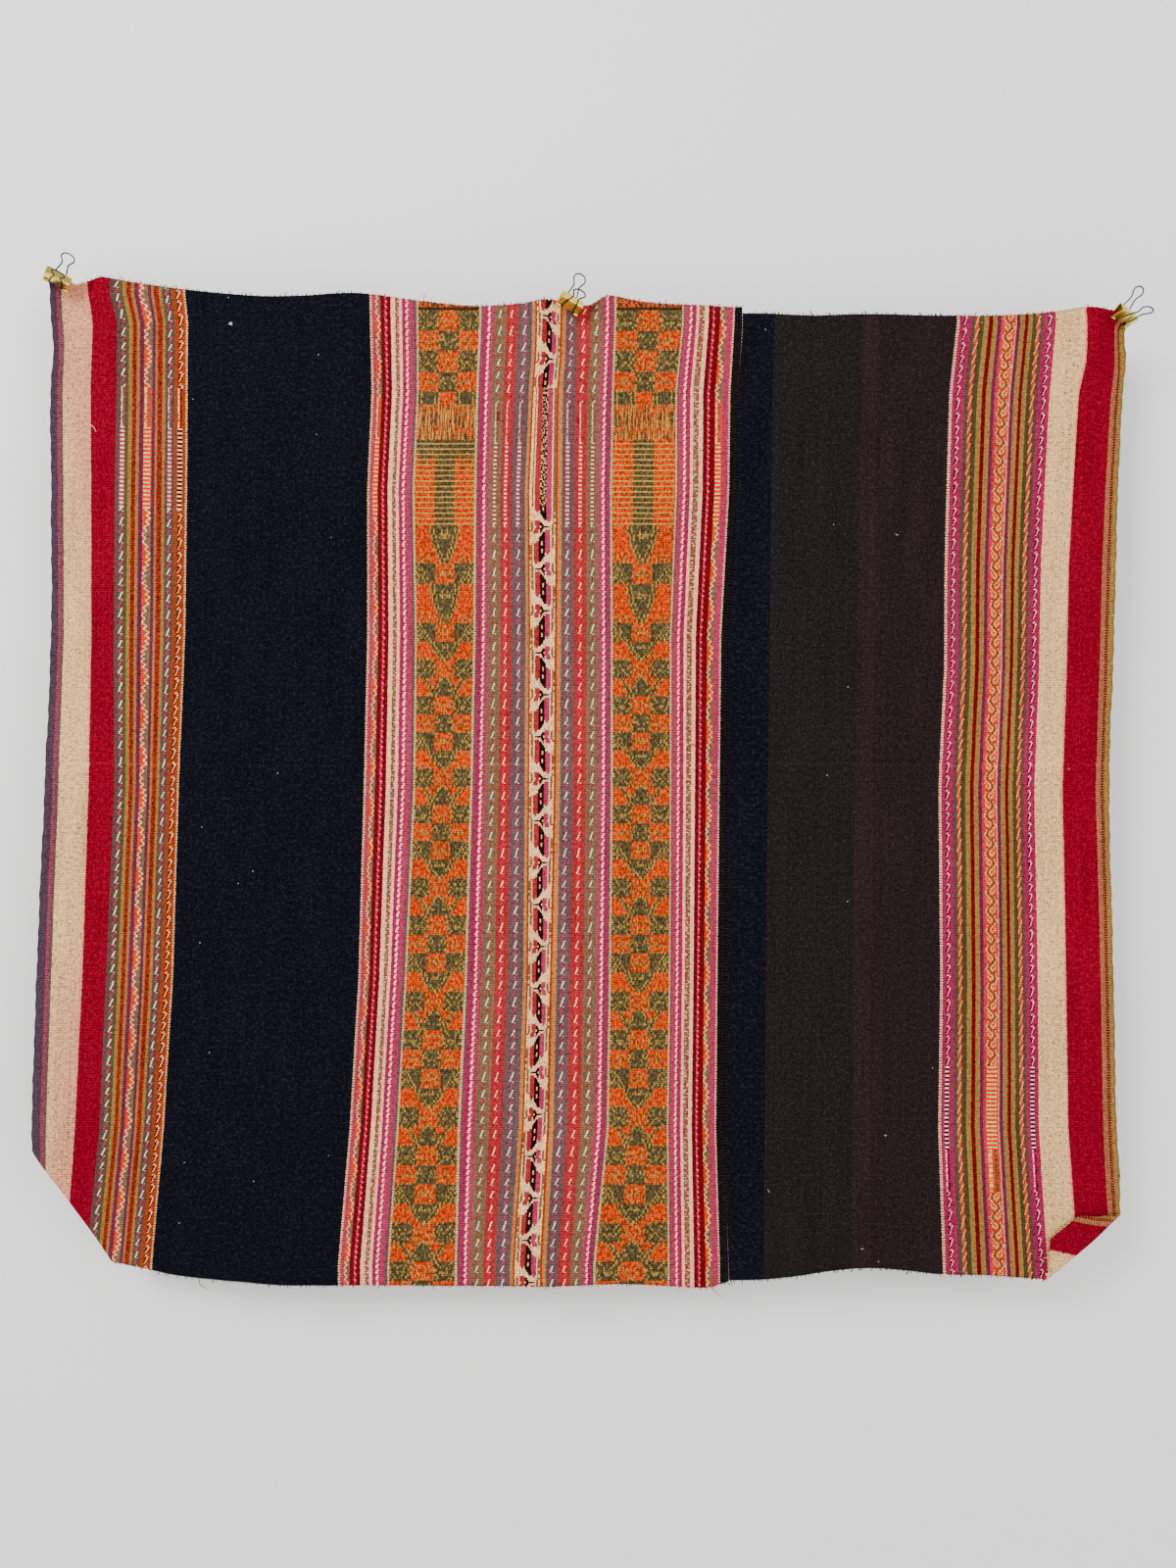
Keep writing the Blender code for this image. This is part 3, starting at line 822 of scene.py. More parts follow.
class Graph:
    """Adds nodes to one node tree and joins them."""

    def __init__(self, tree: bpy.types.NodeTree) -> None:
        """Keep the tree that the nodes go in."""
        self.tree = tree

    def feed(self, socket: Socket, value: Feed) -> None:
        """Join an output to an input, or set the input to a number or colour."""
        if isinstance(value, bpy.types.NodeSocket):
            self.tree.links.new(value, socket)
        else:
            socket.default_value = value

    def node(self, kind: str, **settings: object) -> bpy.types.Node:
        """Add a node and set its options."""
        made = self.tree.nodes.new(kind)
        for key, value in settings.items():
            setattr(made, key, value)
        return made

    def math(self, operation: str, *values: Feed) -> Socket:
        """Add a sum of one, two or three values."""
        made = self.node("ShaderNodeMath", operation=operation)
        for socket, value in zip(made.inputs, values):
            self.feed(socket, value)
        return made.outputs[0]

    def mix(self, factor: Feed, low: Feed, high: Feed) -> Socket:
        """Go from one number to another as the factor goes from 0 to 1."""
        made = self.node("ShaderNodeMix", data_type="FLOAT")
        for k, value in ((0, factor), (2, low), (3, high)):
            self.feed(made.inputs[k], value)
        return made.outputs[0]

    def blend(self, factor: Feed, low: Feed, high: Feed, kind: str = "MIX") -> Socket:
        """Go from one colour to another as the factor goes from 0 to 1."""
        made = self.node("ShaderNodeMix", data_type="RGBA", blend_type=kind)
        for k, value in ((0, factor), (6, low), (7, high)):
            self.feed(made.inputs[k], value)
        return made.outputs[2]

    def between(self, value: Feed, low: Feed, high: Feed) -> Socket:
        """One where a value lies between two limits, and nought elsewhere."""
        return self.math("MULTIPLY", self.math("GREATER_THAN", value, low), self.math("LESS_THAN", value, high))

    def near(self, value: Feed, middle: Feed, half: float) -> Socket:
        """One where a value is within a distance of another."""
        return self.math("COMPARE", value, middle, half)

    def repeat(self, value: Feed, pitch: float, share: float) -> Socket:
        """One over the first share of every pitch."""
        return self.math("LESS_THAN", self.math("FRACT", self.math("DIVIDE", value, pitch)), share)

    def clamped(self, value: Feed) -> Socket:
        """A value kept from 0 to 1."""
        return self.math("MINIMUM", self.math("MAXIMUM", value, 0.0), 1.0)

    def past(self, value: Feed, start: float, length: float) -> Socket:
        """How far a value is past a start, counted in lengths."""
        return self.math("DIVIDE", self.math("SUBTRACT", value, start), length)

    def rising(self, value: Feed, start: float, rate: float) -> Socket:
        """How far a value has risen above a start at a rate, kept from 0 to 1."""
        return self.clamped(self.math("MULTIPLY", self.math("SUBTRACT", value, start), rate))

    def swell(self, phase: Feed) -> Socket:
        """A smooth wave from 0 to 1."""
        return self.math("MULTIPLY_ADD", self.math("SINE", phase), 0.5, 0.5)

    def steps(self, factor: Feed, stops: Iterable[tuple]) -> Socket:
        """Add a colour ramp that changes in steps.

        Args:
            factor: what it is read at, from 0 to 1.
            stops: each stop's place and colour, in order.

        Returns:
            The ramp's colour.
        """
        made = self.node("ShaderNodeValToRGB")
        ramp = made.color_ramp
        ramp.interpolation = "CONSTANT"
        for k, (place, colour) in enumerate(stops):
            stop = ramp.elements[0] if k == 0 else ramp.elements[1] if k == 1 else ramp.elements.new(place)
            stop.position = place
            stop.color = colour
        self.feed(made.inputs[0], factor)
        return made.outputs[0]

    def split(self, colour: Feed) -> Sequence[Socket]:
        """Take a colour apart into its three parts."""
        made = self.node("ShaderNodeSeparateColor")
        self.feed(made.inputs[0], colour)
        return made.outputs

    def noise(self, vector: Feed, scale: Feed, detail: float = 2.0) -> Socket:
        """Add a cloudy pattern and give its value."""
        made = self.node("ShaderNodeTexNoise")
        self.feed(made.inputs["Vector"], vector)
        self.feed(made.inputs["Scale"], scale)
        made.inputs["Detail"].default_value = detail
        return made.outputs[0]

    def vector(self, x: Feed, y: Feed, z: Feed = 0.0) -> Socket:
        """Join three numbers as one vector."""
        made = self.node("ShaderNodeCombineXYZ")
        for socket, value in zip(made.inputs, (x, y, z)):
            self.feed(socket, value)
        return made.outputs[0]

    def drawn(self, across: Feed, along: Feed, squeeze: float, scale: float, detail: float = 2.0) -> Socket:
        """Add a cloudy pattern that is drawn out along the threads."""
        return self.noise(self.vector(across, self.math("MULTIPLY", along, squeeze)), scale, detail)

    def bump(self, shader: bpy.types.Node, height: Socket, strength: float, distance: float) -> None:
        """Give a surface its relief.

        Args:
            shader: the surface's shader.
            height: the relief.
            strength: how much of it shows.
            distance: its depth in metres.
        """
        made = self.node("ShaderNodeBump")
        made.inputs["Strength"].default_value = strength
        made.inputs["Distance"].default_value = distance
        self.feed(made.inputs["Height"], height)
        self.feed(shader.inputs["Normal"], made.outputs[0])


def new_material(name: str) -> tuple:
    """Make a material with nodes.

    Args:
        name: the material's name.

    Returns:
        The material, the graph that adds nodes to it, and its shader.
    """
    material = bpy.data.materials.new(name)
    material.use_nodes = True
    return material, Graph(material.node_tree), material.node_tree.nodes["Principled BSDF"]


class NodeGroup:
    """A shader node group that is built once and placed in each material that uses it."""

    def __init__(
        self, name: str, inputs: Sequence[tuple], outputs: Sequence[tuple], build: Callable[[Graph, dict], dict],
    ) -> None:
        """Build the group.

        Args:
            name: the group's name.
            inputs: each input's name and value.
            outputs: each output's name and kind of socket.
            build: what makes the inside, given a graph and the inputs' sockets, and returns the outputs' ones.
        """
        self.tree = bpy.data.node_groups.new(name, "ShaderNodeTree")
        for label, value in inputs:
            made = self.tree.interface.new_socket(label, in_out="INPUT", socket_type="NodeSocketFloat")
            made.default_value = value
        for label, kind in outputs:
            self.tree.interface.new_socket(label, in_out="OUTPUT", socket_type=kind)
        graph = Graph(self.tree)
        entry, leave = graph.node("NodeGroupInput"), graph.node("NodeGroupOutput")
        results = build(graph, {label: entry.outputs[label] for label, _ in inputs})
        for label, value in results.items():
            graph.feed(leave.inputs[label], value)

    def place(self, graph: Graph, **values: Feed) -> bpy.types.Node:
        """Place the group in a material, with its inputs named with underscores for spaces."""
        made = graph.node("ShaderNodeGroup", node_tree=self.tree)
        for key, value in values.items():
            graph.feed(made.inputs[key.replace("_", " ")], value)
        return made


@dataclass(frozen=True)
class Chart:
    """A small repeat, listed one letter a cell: what each letter means is told by its planes."""

    name: str
    rows: tuple
    planes: tuple
    rows_in_ramp: int = 24

    def group(self) -> NodeGroup:
        """Build the group that reads the chart at a column and a row, with one mask for each plane."""
        return NodeGroup(
            self.name, (("Column", 0.0), ("Row", 0.0)),
            tuple((f"Mask {k + 1}", "NodeSocketFloat") for k in range(len(self.planes))), self.inside,
        )

    def inside(self, graph: Graph, given: dict) -> dict:
        """Read the chart's rows as packed columns.

        Args:
            graph: the group's graph.
            given: its inputs' sockets.

        Returns:
            The sockets of its masks.
        """
        width, count = len(self.rows[0]), len(self.rows)
        row = graph.math("FLOORED_MODULO", given["Row"], float(count))
        column = graph.math("FLOOR", graph.math("MINIMUM", graph.math("MAXIMUM", given["Column"], 0.0), width - 1.0))
        shift = graph.math("POWER", 2.0, column)
        ramps = []
        for start in range(0, count, self.rows_in_ramp):
            part = self.rows[start:start + self.rows_in_ramp]
            stops = []
            for k, line in enumerate(part):
                packed = [sum(1 << c for c, mark in enumerate(line) if mark in plane) / 2 ** width
                          for plane in self.planes]
                stops.append((k / len(part), (*(packed + [0.0, 0.0])[:3], 1.0)))
            place = graph.past(row, float(start), float(len(part)))
            ramps.append((float(start), graph.split(graph.steps(place, stops))))
        masks = {}
        for k in range(len(self.planes)):
            packed_row = ramps[0][1][k]
            for start, parts in ramps[1:]:
                packed_row = graph.mix(graph.math("GREATER_THAN", row, start - 1e-4), packed_row, parts[k])
            whole = graph.math("MULTIPLY_ADD", packed_row, float(2 ** width), 0.25)
            bits = graph.math("FLOOR", graph.math("DIVIDE", whole, shift))
            masks[f"Mask {k + 1}"] = graph.math("GREATER_THAN", graph.math("MODULO", bits, 2.0), 0.5)
        return masks


# The block band from its middle line out: five cells of its middle block, then ten of a side block.
BLOCK_CHART = Chart("block_repeat", (
    "ggggg#g#ooooo#o",
    "g#ggg#g#ooooooo",
    "###g#g#oooooooo",
    "gggg#g#oooooooo",
    "ggg#g#ooooooooo",
    "gg#g#oooooooooo",
    "g#g#oooo#ooo#oo",
    "#g#oooo#o#o#o#o",
    "#oooog#gggggg#g",
    "o#ooogg#gggg#gg",
    "oo#oo#gg#gg#gg#",
    "ooo#og#ggggggg#",
    "o#o#ogg#g##g#gg",
    "oo#oo#gg#gg#gg#",
    "o#ooogg#gggg#gg",
    "#ooo#g#gggggg#g",
    "g##oooooo#g#ooo",
    "gg#goooo#g#oo#o",
    "ggg#ooo#g#ooooo",
    "ggg#go#g#oooooo",
    "gggg#o#g#oooooo",
    "gg##g#g#ooooooo",
    "ggggg#g#ooooooo",
    "gggg#g#o#ooo#oo",
    "oooo#g#gggggg#g",
    "ooo#ogg#gggg#gg",
    "o#o#o#gg#gg#gg#",
    "oo#oo##ggggggg#",
    "oo#oo#gg####gg#",
    "o#o#o##gg##gg##",
    "o#ooogg#gggg#gg",
    "#oooog#gggggg#g",
    "ggggg#ooooooooo",
    "ggg#goooo#ooooo",
    "gg#g#ooo#o#oooo",
    "gg###oo#ooo#ooo",
    "g#ggg#o#####ooo",
    "gggg#oooooooooo",
    "g#gg#ooo#ooo#oo",
    "ggggg#o#o#o#o#o",
    "oooo#gggggggg#g",
    "#ooo#ggggggg#g#",
    "o#ooogggggg#g#g",
    "o#o#oggggg#g#g#",
    "###ooggggg#g##g",
    "ooo#ogggg#g#g##",
    "oo#ooggg#g#g#g#",
    "o#ooogg#g#gg#g#",
), ("#", "o"), 24)

# One slanted bar and bow of the narrow band, across its full width. The next is the same turned over, with the red and
# the rose yarn changing places.
SLANT = (
    ".gg.rrrr..kk.pppp.gg",
    ".gg.rrrrkk.k.pppp...",
    ".gg.rrrrkkk.........",
    "..g.rrrrkkkk........",
    ".gg.rrrrkkkkk.......",
    ".gg.rrrrkkkkk.......",
    ".gg.rrrrkk.kkpp.....",
    ".gg.rrrrkk.kkpppp.g.",
    ".gg.rrrrkkkkkpppp.gg",
    "..g.rrrrkkkkkpppp.gg",
    "....rrrrkk.kkpppp.gg",
    "....rrrrkk.kkpppp.gg",
    ".....rr.kkkkkpppp.gg",
    "........kkkkkpppp.g.",
    ".........kkkkpppp.gg",
    "..........kkkpppp.gg",
    "...........kkpppp.g.",
    ".g..rrrr......pp..g.",
    ".gg.rrrrkk........gg",
    ".gg.rrrrkkk......gg.",
    ".gg..rrr.kkkkkpp.gg.",
    ".gg.rrrrkkk......gg.",
)
ZIGZAG_CHART = Chart(
    "zigzag_repeat", SLANT + tuple(line[::-1].translate(str.maketrans("rp", "pr")) for line in SLANT),
    ("rp", "kp", "g"), 22,
)

# One curl of the scroll; the next one is the same turned over.
CURL = (
    "oo..cc..v..o",
    "o.c...c.v.co",
    "o.c..vc.v.co",
    "o.c.c.c.vv.c",
    "o..c..c.vv.c",
    "oo..cc.vv.co",
    "oov...vv.c.o",
    "oovv..v..c.o",
    "o.cvv.v.c..o",
    "o.c.v..c..co",
)
SCROLL_CHART = Chart("scroll_repeat", CURL + tuple(line[::-1] for line in CURL), ("c", "v"), 20)

HOOK_CHART = Chart("hook_repeat", (
    "..bww..",
    ".bw.bw.",
    ".bb.bww",
    "..bb.w.",
    "...bbw.",
    "..bbw..",
    "..bbw.b",
    ".bbw...",
    ".bbw.b.",
    ".bwb...",
    "..bb...",
    "..b....",
), ("w", "b"), 12)


@dataclass(frozen=True)
class Zones:
    """Where along a panel its twisted stripes change into split lines and then into rungs."""

    lines: tuple
    rungs: tuple


class ClothGroups:
    """The node groups that both cloth materials use."""

    weft_pitch = 2.3
    warp_pitch = 1.05
    stroke_pitch = 7.6
    ply_pitch = 6.4
    rung_pitch = 4.3
    rope_pitch = 11.6
    swing_pitch = 41.0
    scallop_pitch = 6.2
    bead_pitch = 2.7
    scroll_cell = 0.975
    # How the strokes' even spacing wanders along the cloth.
    drift_rate = 0.083
    drift_size = 2.4
    # The lengths along the cloth over which its pale border comes up and fades again: each one's start and length.
    ageing = (400.0, 260.0)
    fading = (950.0, 150.0)

    def __init__(self) -> None:
        """Build the groups."""
        floating = "NodeSocketFloat"
        self.blocks = BLOCK_CHART.group()
        self.zigzag = ZIGZAG_CHART.group()
        self.scroll = SCROLL_CHART.group()
        self.hooks = HOOK_CHART.group()
        self.figure = NodeGroup(
            "figured_warps",
            (("Code", 0.0), ("Local", 0.0), ("Along", 0.0), ("Lines from", 0.0), ("Lines to", 0.0),
             ("Rungs from", 0.0), ("Rungs to", 0.0)),
            (("First", floating), ("Second", floating)), self.figure_inside,
        )
        self.yarn = NodeGroup(
            "spun_yarn", (("Across", 0.0), ("Along", 0.0)),
            (("Shade", floating), ("Height", floating), ("Dirt", floating), ("Lint", floating)), self.yarn_inside,
        )
        self.wear_and_shade_patches = NodeGroup(
            "worn_and_shaded_plating", (("Scale", 900.0),), (("Wear and shade", floating), ("Grain", floating)), self.wear_and_shade_inside,
        )
        LOG.info("node groups made")

    def figure_inside(self, graph: Graph, given: dict) -> dict:
        """Make the masks of the two yarns that are figured on a stripe, for every weave."""
        code, local, along = given["Code"], given["Local"], given["Along"]
        drift = graph.math("SINE", graph.math("MULTIPLY", along, self.drift_rate))
        drift = graph.math("MULTIPLY_ADD", drift, self.drift_size, along)
        fleck = graph.noise(graph.vector(graph.math("MULTIPLY", local, 3.0), along), 0.55, 2.0)
        body = graph.near(local, 0.5, 0.4)
        rung = graph.math("MULTIPLY", graph.repeat(along, self.rung_pitch, 0.42), body)
        between_rungs = graph.math("SUBTRACT", body, rung)
        strong = graph.math("GREATER_THAN", fleck, 0.45)
        left_line, right_line = (
            graph.math("MULTIPLY", graph.near(local, place, 0.14), strong) for place in (0.28, 0.72)
        )
        lines, rungs = (
            graph.between(along, given[label + " from"], given[label + " to"]) for label in ("Lines", "Rungs")
        )
        first: Feed = 0.0
        second: Feed = 0.0
        for weave, one, two, zoned in self.figures(graph, local, along, drift, fleck):
            if zoned:
                beside: Feed = between_rungs if weave in (Weave.TWIST, Weave.HOOK) else 0.0
                one = graph.mix(rungs, graph.mix(lines, one, left_line), rung)
                two = graph.mix(rungs, graph.mix(lines, two, right_line), beside)
            here = graph.math("COMPARE", code, weave.value, 0.04)
            first, second = graph.mix(here, first, one), graph.mix(here, second, two)
        return {"First": first, "Second": second}

    def figures(self, graph: Graph, local: Socket, along: Socket, drift: Socket, fleck: Socket) -> tuple:
        """Make each weave's two masks.

        Args:
            graph: the group's graph.
            local: the place across the stripe, from 0 to 1.
            along: the pattern length along the threads.
            drift: the same, slightly uneven.
            fleck: an uneven value for each yarn.

        Returns:
            For each weave, its code, its first and second masks, and whether the held zones change it.
        """
        phase = graph.math("FRACT", graph.math("DIVIDE", drift, self.stroke_pitch))
        stroke = graph.near(local, graph.math("MULTIPLY_ADD", phase, -0.6, 0.8), 0.165)
        turn = graph.repeat(drift, self.stroke_pitch * 2, 0.54)
        pale_stroke = graph.math("MULTIPLY", stroke, turn)
        line = graph.near(local, self.wave(graph, drift, self.ply_pitch, 0.15, 0.5), 0.32)
        nick = graph.math("MULTIPLY", line, graph.repeat(drift, self.ply_pitch, 0.22))
        swing = self.wave(graph, along, self.swing_pitch, 0.27, 0.5)
        ripple = self.wave(graph, drift, self.scallop_pitch, 0.2, 0.0)
        scallop = graph.near(local, graph.math("ADD", swing, ripple), 0.12)
        inner_side = graph.math("GREATER_THAN", local, swing)
        scroll = self.scroll.place(
            graph, Column=graph.math("MULTIPLY", local, float(len(CURL[0]))),
            Row=graph.math("DIVIDE", along, self.scroll_cell),
        )
        hooks = self.hooks.place(
            graph, Column=graph.math("MULTIPLY", local, float(len(HOOK_CHART.rows[0]))), Row=drift,
        )
        ropes = graph.math("FRACT", graph.math("DIVIDE", drift, self.rope_pitch))
        rope_stroke = graph.near(local, graph.math("MULTIPLY_ADD", ropes, -1.0, 1.0), 0.085)
        ragged = graph.mix(graph.math("GREATER_THAN", fleck, 0.52), 0.3, 0.4)
        rope_body = graph.math("COMPARE", local, 0.5, ragged)
        ageing, fading = (graph.clamped(graph.past(along, *stretch)) for stretch in (self.ageing, self.fading))
        level = graph.math("MULTIPLY_ADD", ageing, 1.25, graph.math("MULTIPLY_ADD", local, -0.9, 0.25))
        pale = graph.clamped(graph.math("MULTIPLY_ADD", fading, -0.9, level))
        specks = graph.noise(graph.vector(graph.math("MULTIPLY", local, 28.0), along), 0.4, 3.0)
        specks = graph.math("MINIMUM", graph.rising(specks, 0.58, 8.0), 0.7)
        return (
            (Weave.TWIST, pale_stroke, graph.math("SUBTRACT", stroke, pale_stroke), True),
            (Weave.PLIED, line, nick, False),
            (Weave.CHAIN, scallop, graph.math("MULTIPLY", inner_side, graph.math("SUBTRACT", 1.0, scallop)), True),
            (Weave.SCROLL, scroll.outputs[0], scroll.outputs[1], True),
            (Weave.FIELD, pale, specks, False),
            (Weave.HOOK, hooks.outputs[0], hooks.outputs[1], True),
            (Weave.BEAD, graph.repeat(along, self.bead_pitch, 0.7), 0.0, False),
            (Weave.MOTTLE, graph.math("GREATER_THAN", fleck, 0.54), graph.math("LESS_THAN", fleck, 0.42), False),
            (Weave.ROPE, rope_body, rope_stroke, False),
        )

    def wave(self, graph: Graph, along: Socket, pitch: float, size: float, middle: float) -> Socket:
        """A place across a stripe that swings from side to side along it."""
        turn = graph.math("SINE", graph.math("MULTIPLY", along, 2 * math.pi / pitch))
        return graph.math("MULTIPLY_ADD", turn, size, middle)

    def yarn_inside(self, graph: Graph, given: dict) -> dict:
        """Make the spun and woven yarn's painted shade between its weft ribs and warp picks, mixed with its uneven
        tone, and its relief, dirt and lint.
        """
        across, along = given["Across"], given["Along"]
        turn = 2 * math.pi
        wander = graph.drawn(across, along, 0.3, 0.05, 1.0)
        phase = graph.math("MULTIPLY_ADD", along, turn / self.weft_pitch, graph.math("MULTIPLY", wander, 9.0))
        ridge = graph.swell(phase)
        warp_number = graph.math("FLOOR", graph.math("DIVIDE", across, self.warp_pitch))
        pick = graph.swell(graph.math("MULTIPLY_ADD", warp_number, 2.4, phase))
        warp = graph.swell(graph.math("MULTIPLY", across, turn / self.warp_pitch))
        fibre = graph.drawn(across, along, 0.7, 0.52, 4.0)
        cloud = graph.drawn(across, along, 0.22, 0.045, 4.0)
        streak = graph.drawn(across, along, 0.012, 0.42)
        tuft = graph.drawn(across, along, 0.8, 0.26)
        # Painted shade: the colour darkens in the grooves between the weft ribs and between the warps' picks; the
        # cloudy patterns after it only vary the yarn's tone.
        shade = graph.math("MULTIPLY_ADD", ridge, 0.42, 0.62)
        shade = graph.math("MULTIPLY_ADD", pick, 0.34, shade)
        for cloudy, size in ((fibre, 2.0), (tuft, 0.9), (cloud, 0.5), (streak, 0.5)):
            shade = graph.math("MULTIPLY_ADD", graph.math("SUBTRACT", cloudy, 0.5), size, shade)
        shade = graph.math("MAXIMUM", shade, 0.2)
        height = graph.math("MULTIPLY_ADD", ridge, 0.5, graph.math("MULTIPLY", pick, 0.45))
        height = graph.math("MULTIPLY_ADD", warp, 0.35, height)
        height = graph.math("MULTIPLY_ADD", fibre, 0.7, height)
        speck = graph.noise(graph.vector(graph.math("MULTIPLY", across, 0.6), along), 0.62, 3.0)
        dirt = graph.rising(speck, 0.56, 9.0)
        cells = graph.node("ShaderNodeTexVoronoi", feature="F1")
        graph.feed(cells.inputs["Vector"], graph.vector(across, along))
        cells.inputs["Scale"].default_value = 0.055
        near = graph.math("LESS_THAN", cells.outputs["Distance"], 0.04)
        draw = graph.split(cells.outputs["Color"])[0]
        chosen = graph.math("MULTIPLY", graph.math("GREATER_THAN", draw, 0.72), 0.7)
        return {"Shade": shade, "Height": height, "Dirt": dirt, "Lint": graph.math("MULTIPLY", near, chosen)}

    def wear_and_shade_inside(self, graph: Graph, given: dict) -> dict:
        """Make the scuffed patches of the plating, which also carry painted shade on the plated sheet, and its fine
        grain.
        """
        place = graph.node("ShaderNodeTexCoord").outputs["Object"]
        large = graph.noise(place, given["Scale"], 5.0)
        fine = graph.noise(place, graph.math("MULTIPLY", given["Scale"], 7.0), 3.0)
        return {"Wear and shade": graph.rising(large, 0.5, 3.2), "Grain": fine}


class BlockZone(NamedTuple):
    """A stretch of the block band, and the chart rows that it is woven from."""

    start: float
    end: float
    row_start: float
    row_end: float


WHOLE_REPEATS = (655, 766, 877, 992, 1110, 1228, 1346)
BLOCK_ZONES = (
    BlockZone(300, 320, 40, 44),
    BlockZone(320, 338, 24, 32),
    BlockZone(338, 358, 32, 40),
    BlockZone(358, 380, 8, 16),
    BlockZone(380, 400, 32, 40),
    BlockZone(400, 535, 24, 32),
    BlockZone(535, 575, 0, 8),
    BlockZone(575, 596, 40, 48),
    BlockZone(596, 636, 0, 8),
    BlockZone(636, 655, 40, 48),
    *(BlockZone(start, end, 0, len(BLOCK_CHART.rows)) for start, end in zip(WHOLE_REPEATS, WHOLE_REPEATS[1:])),
)


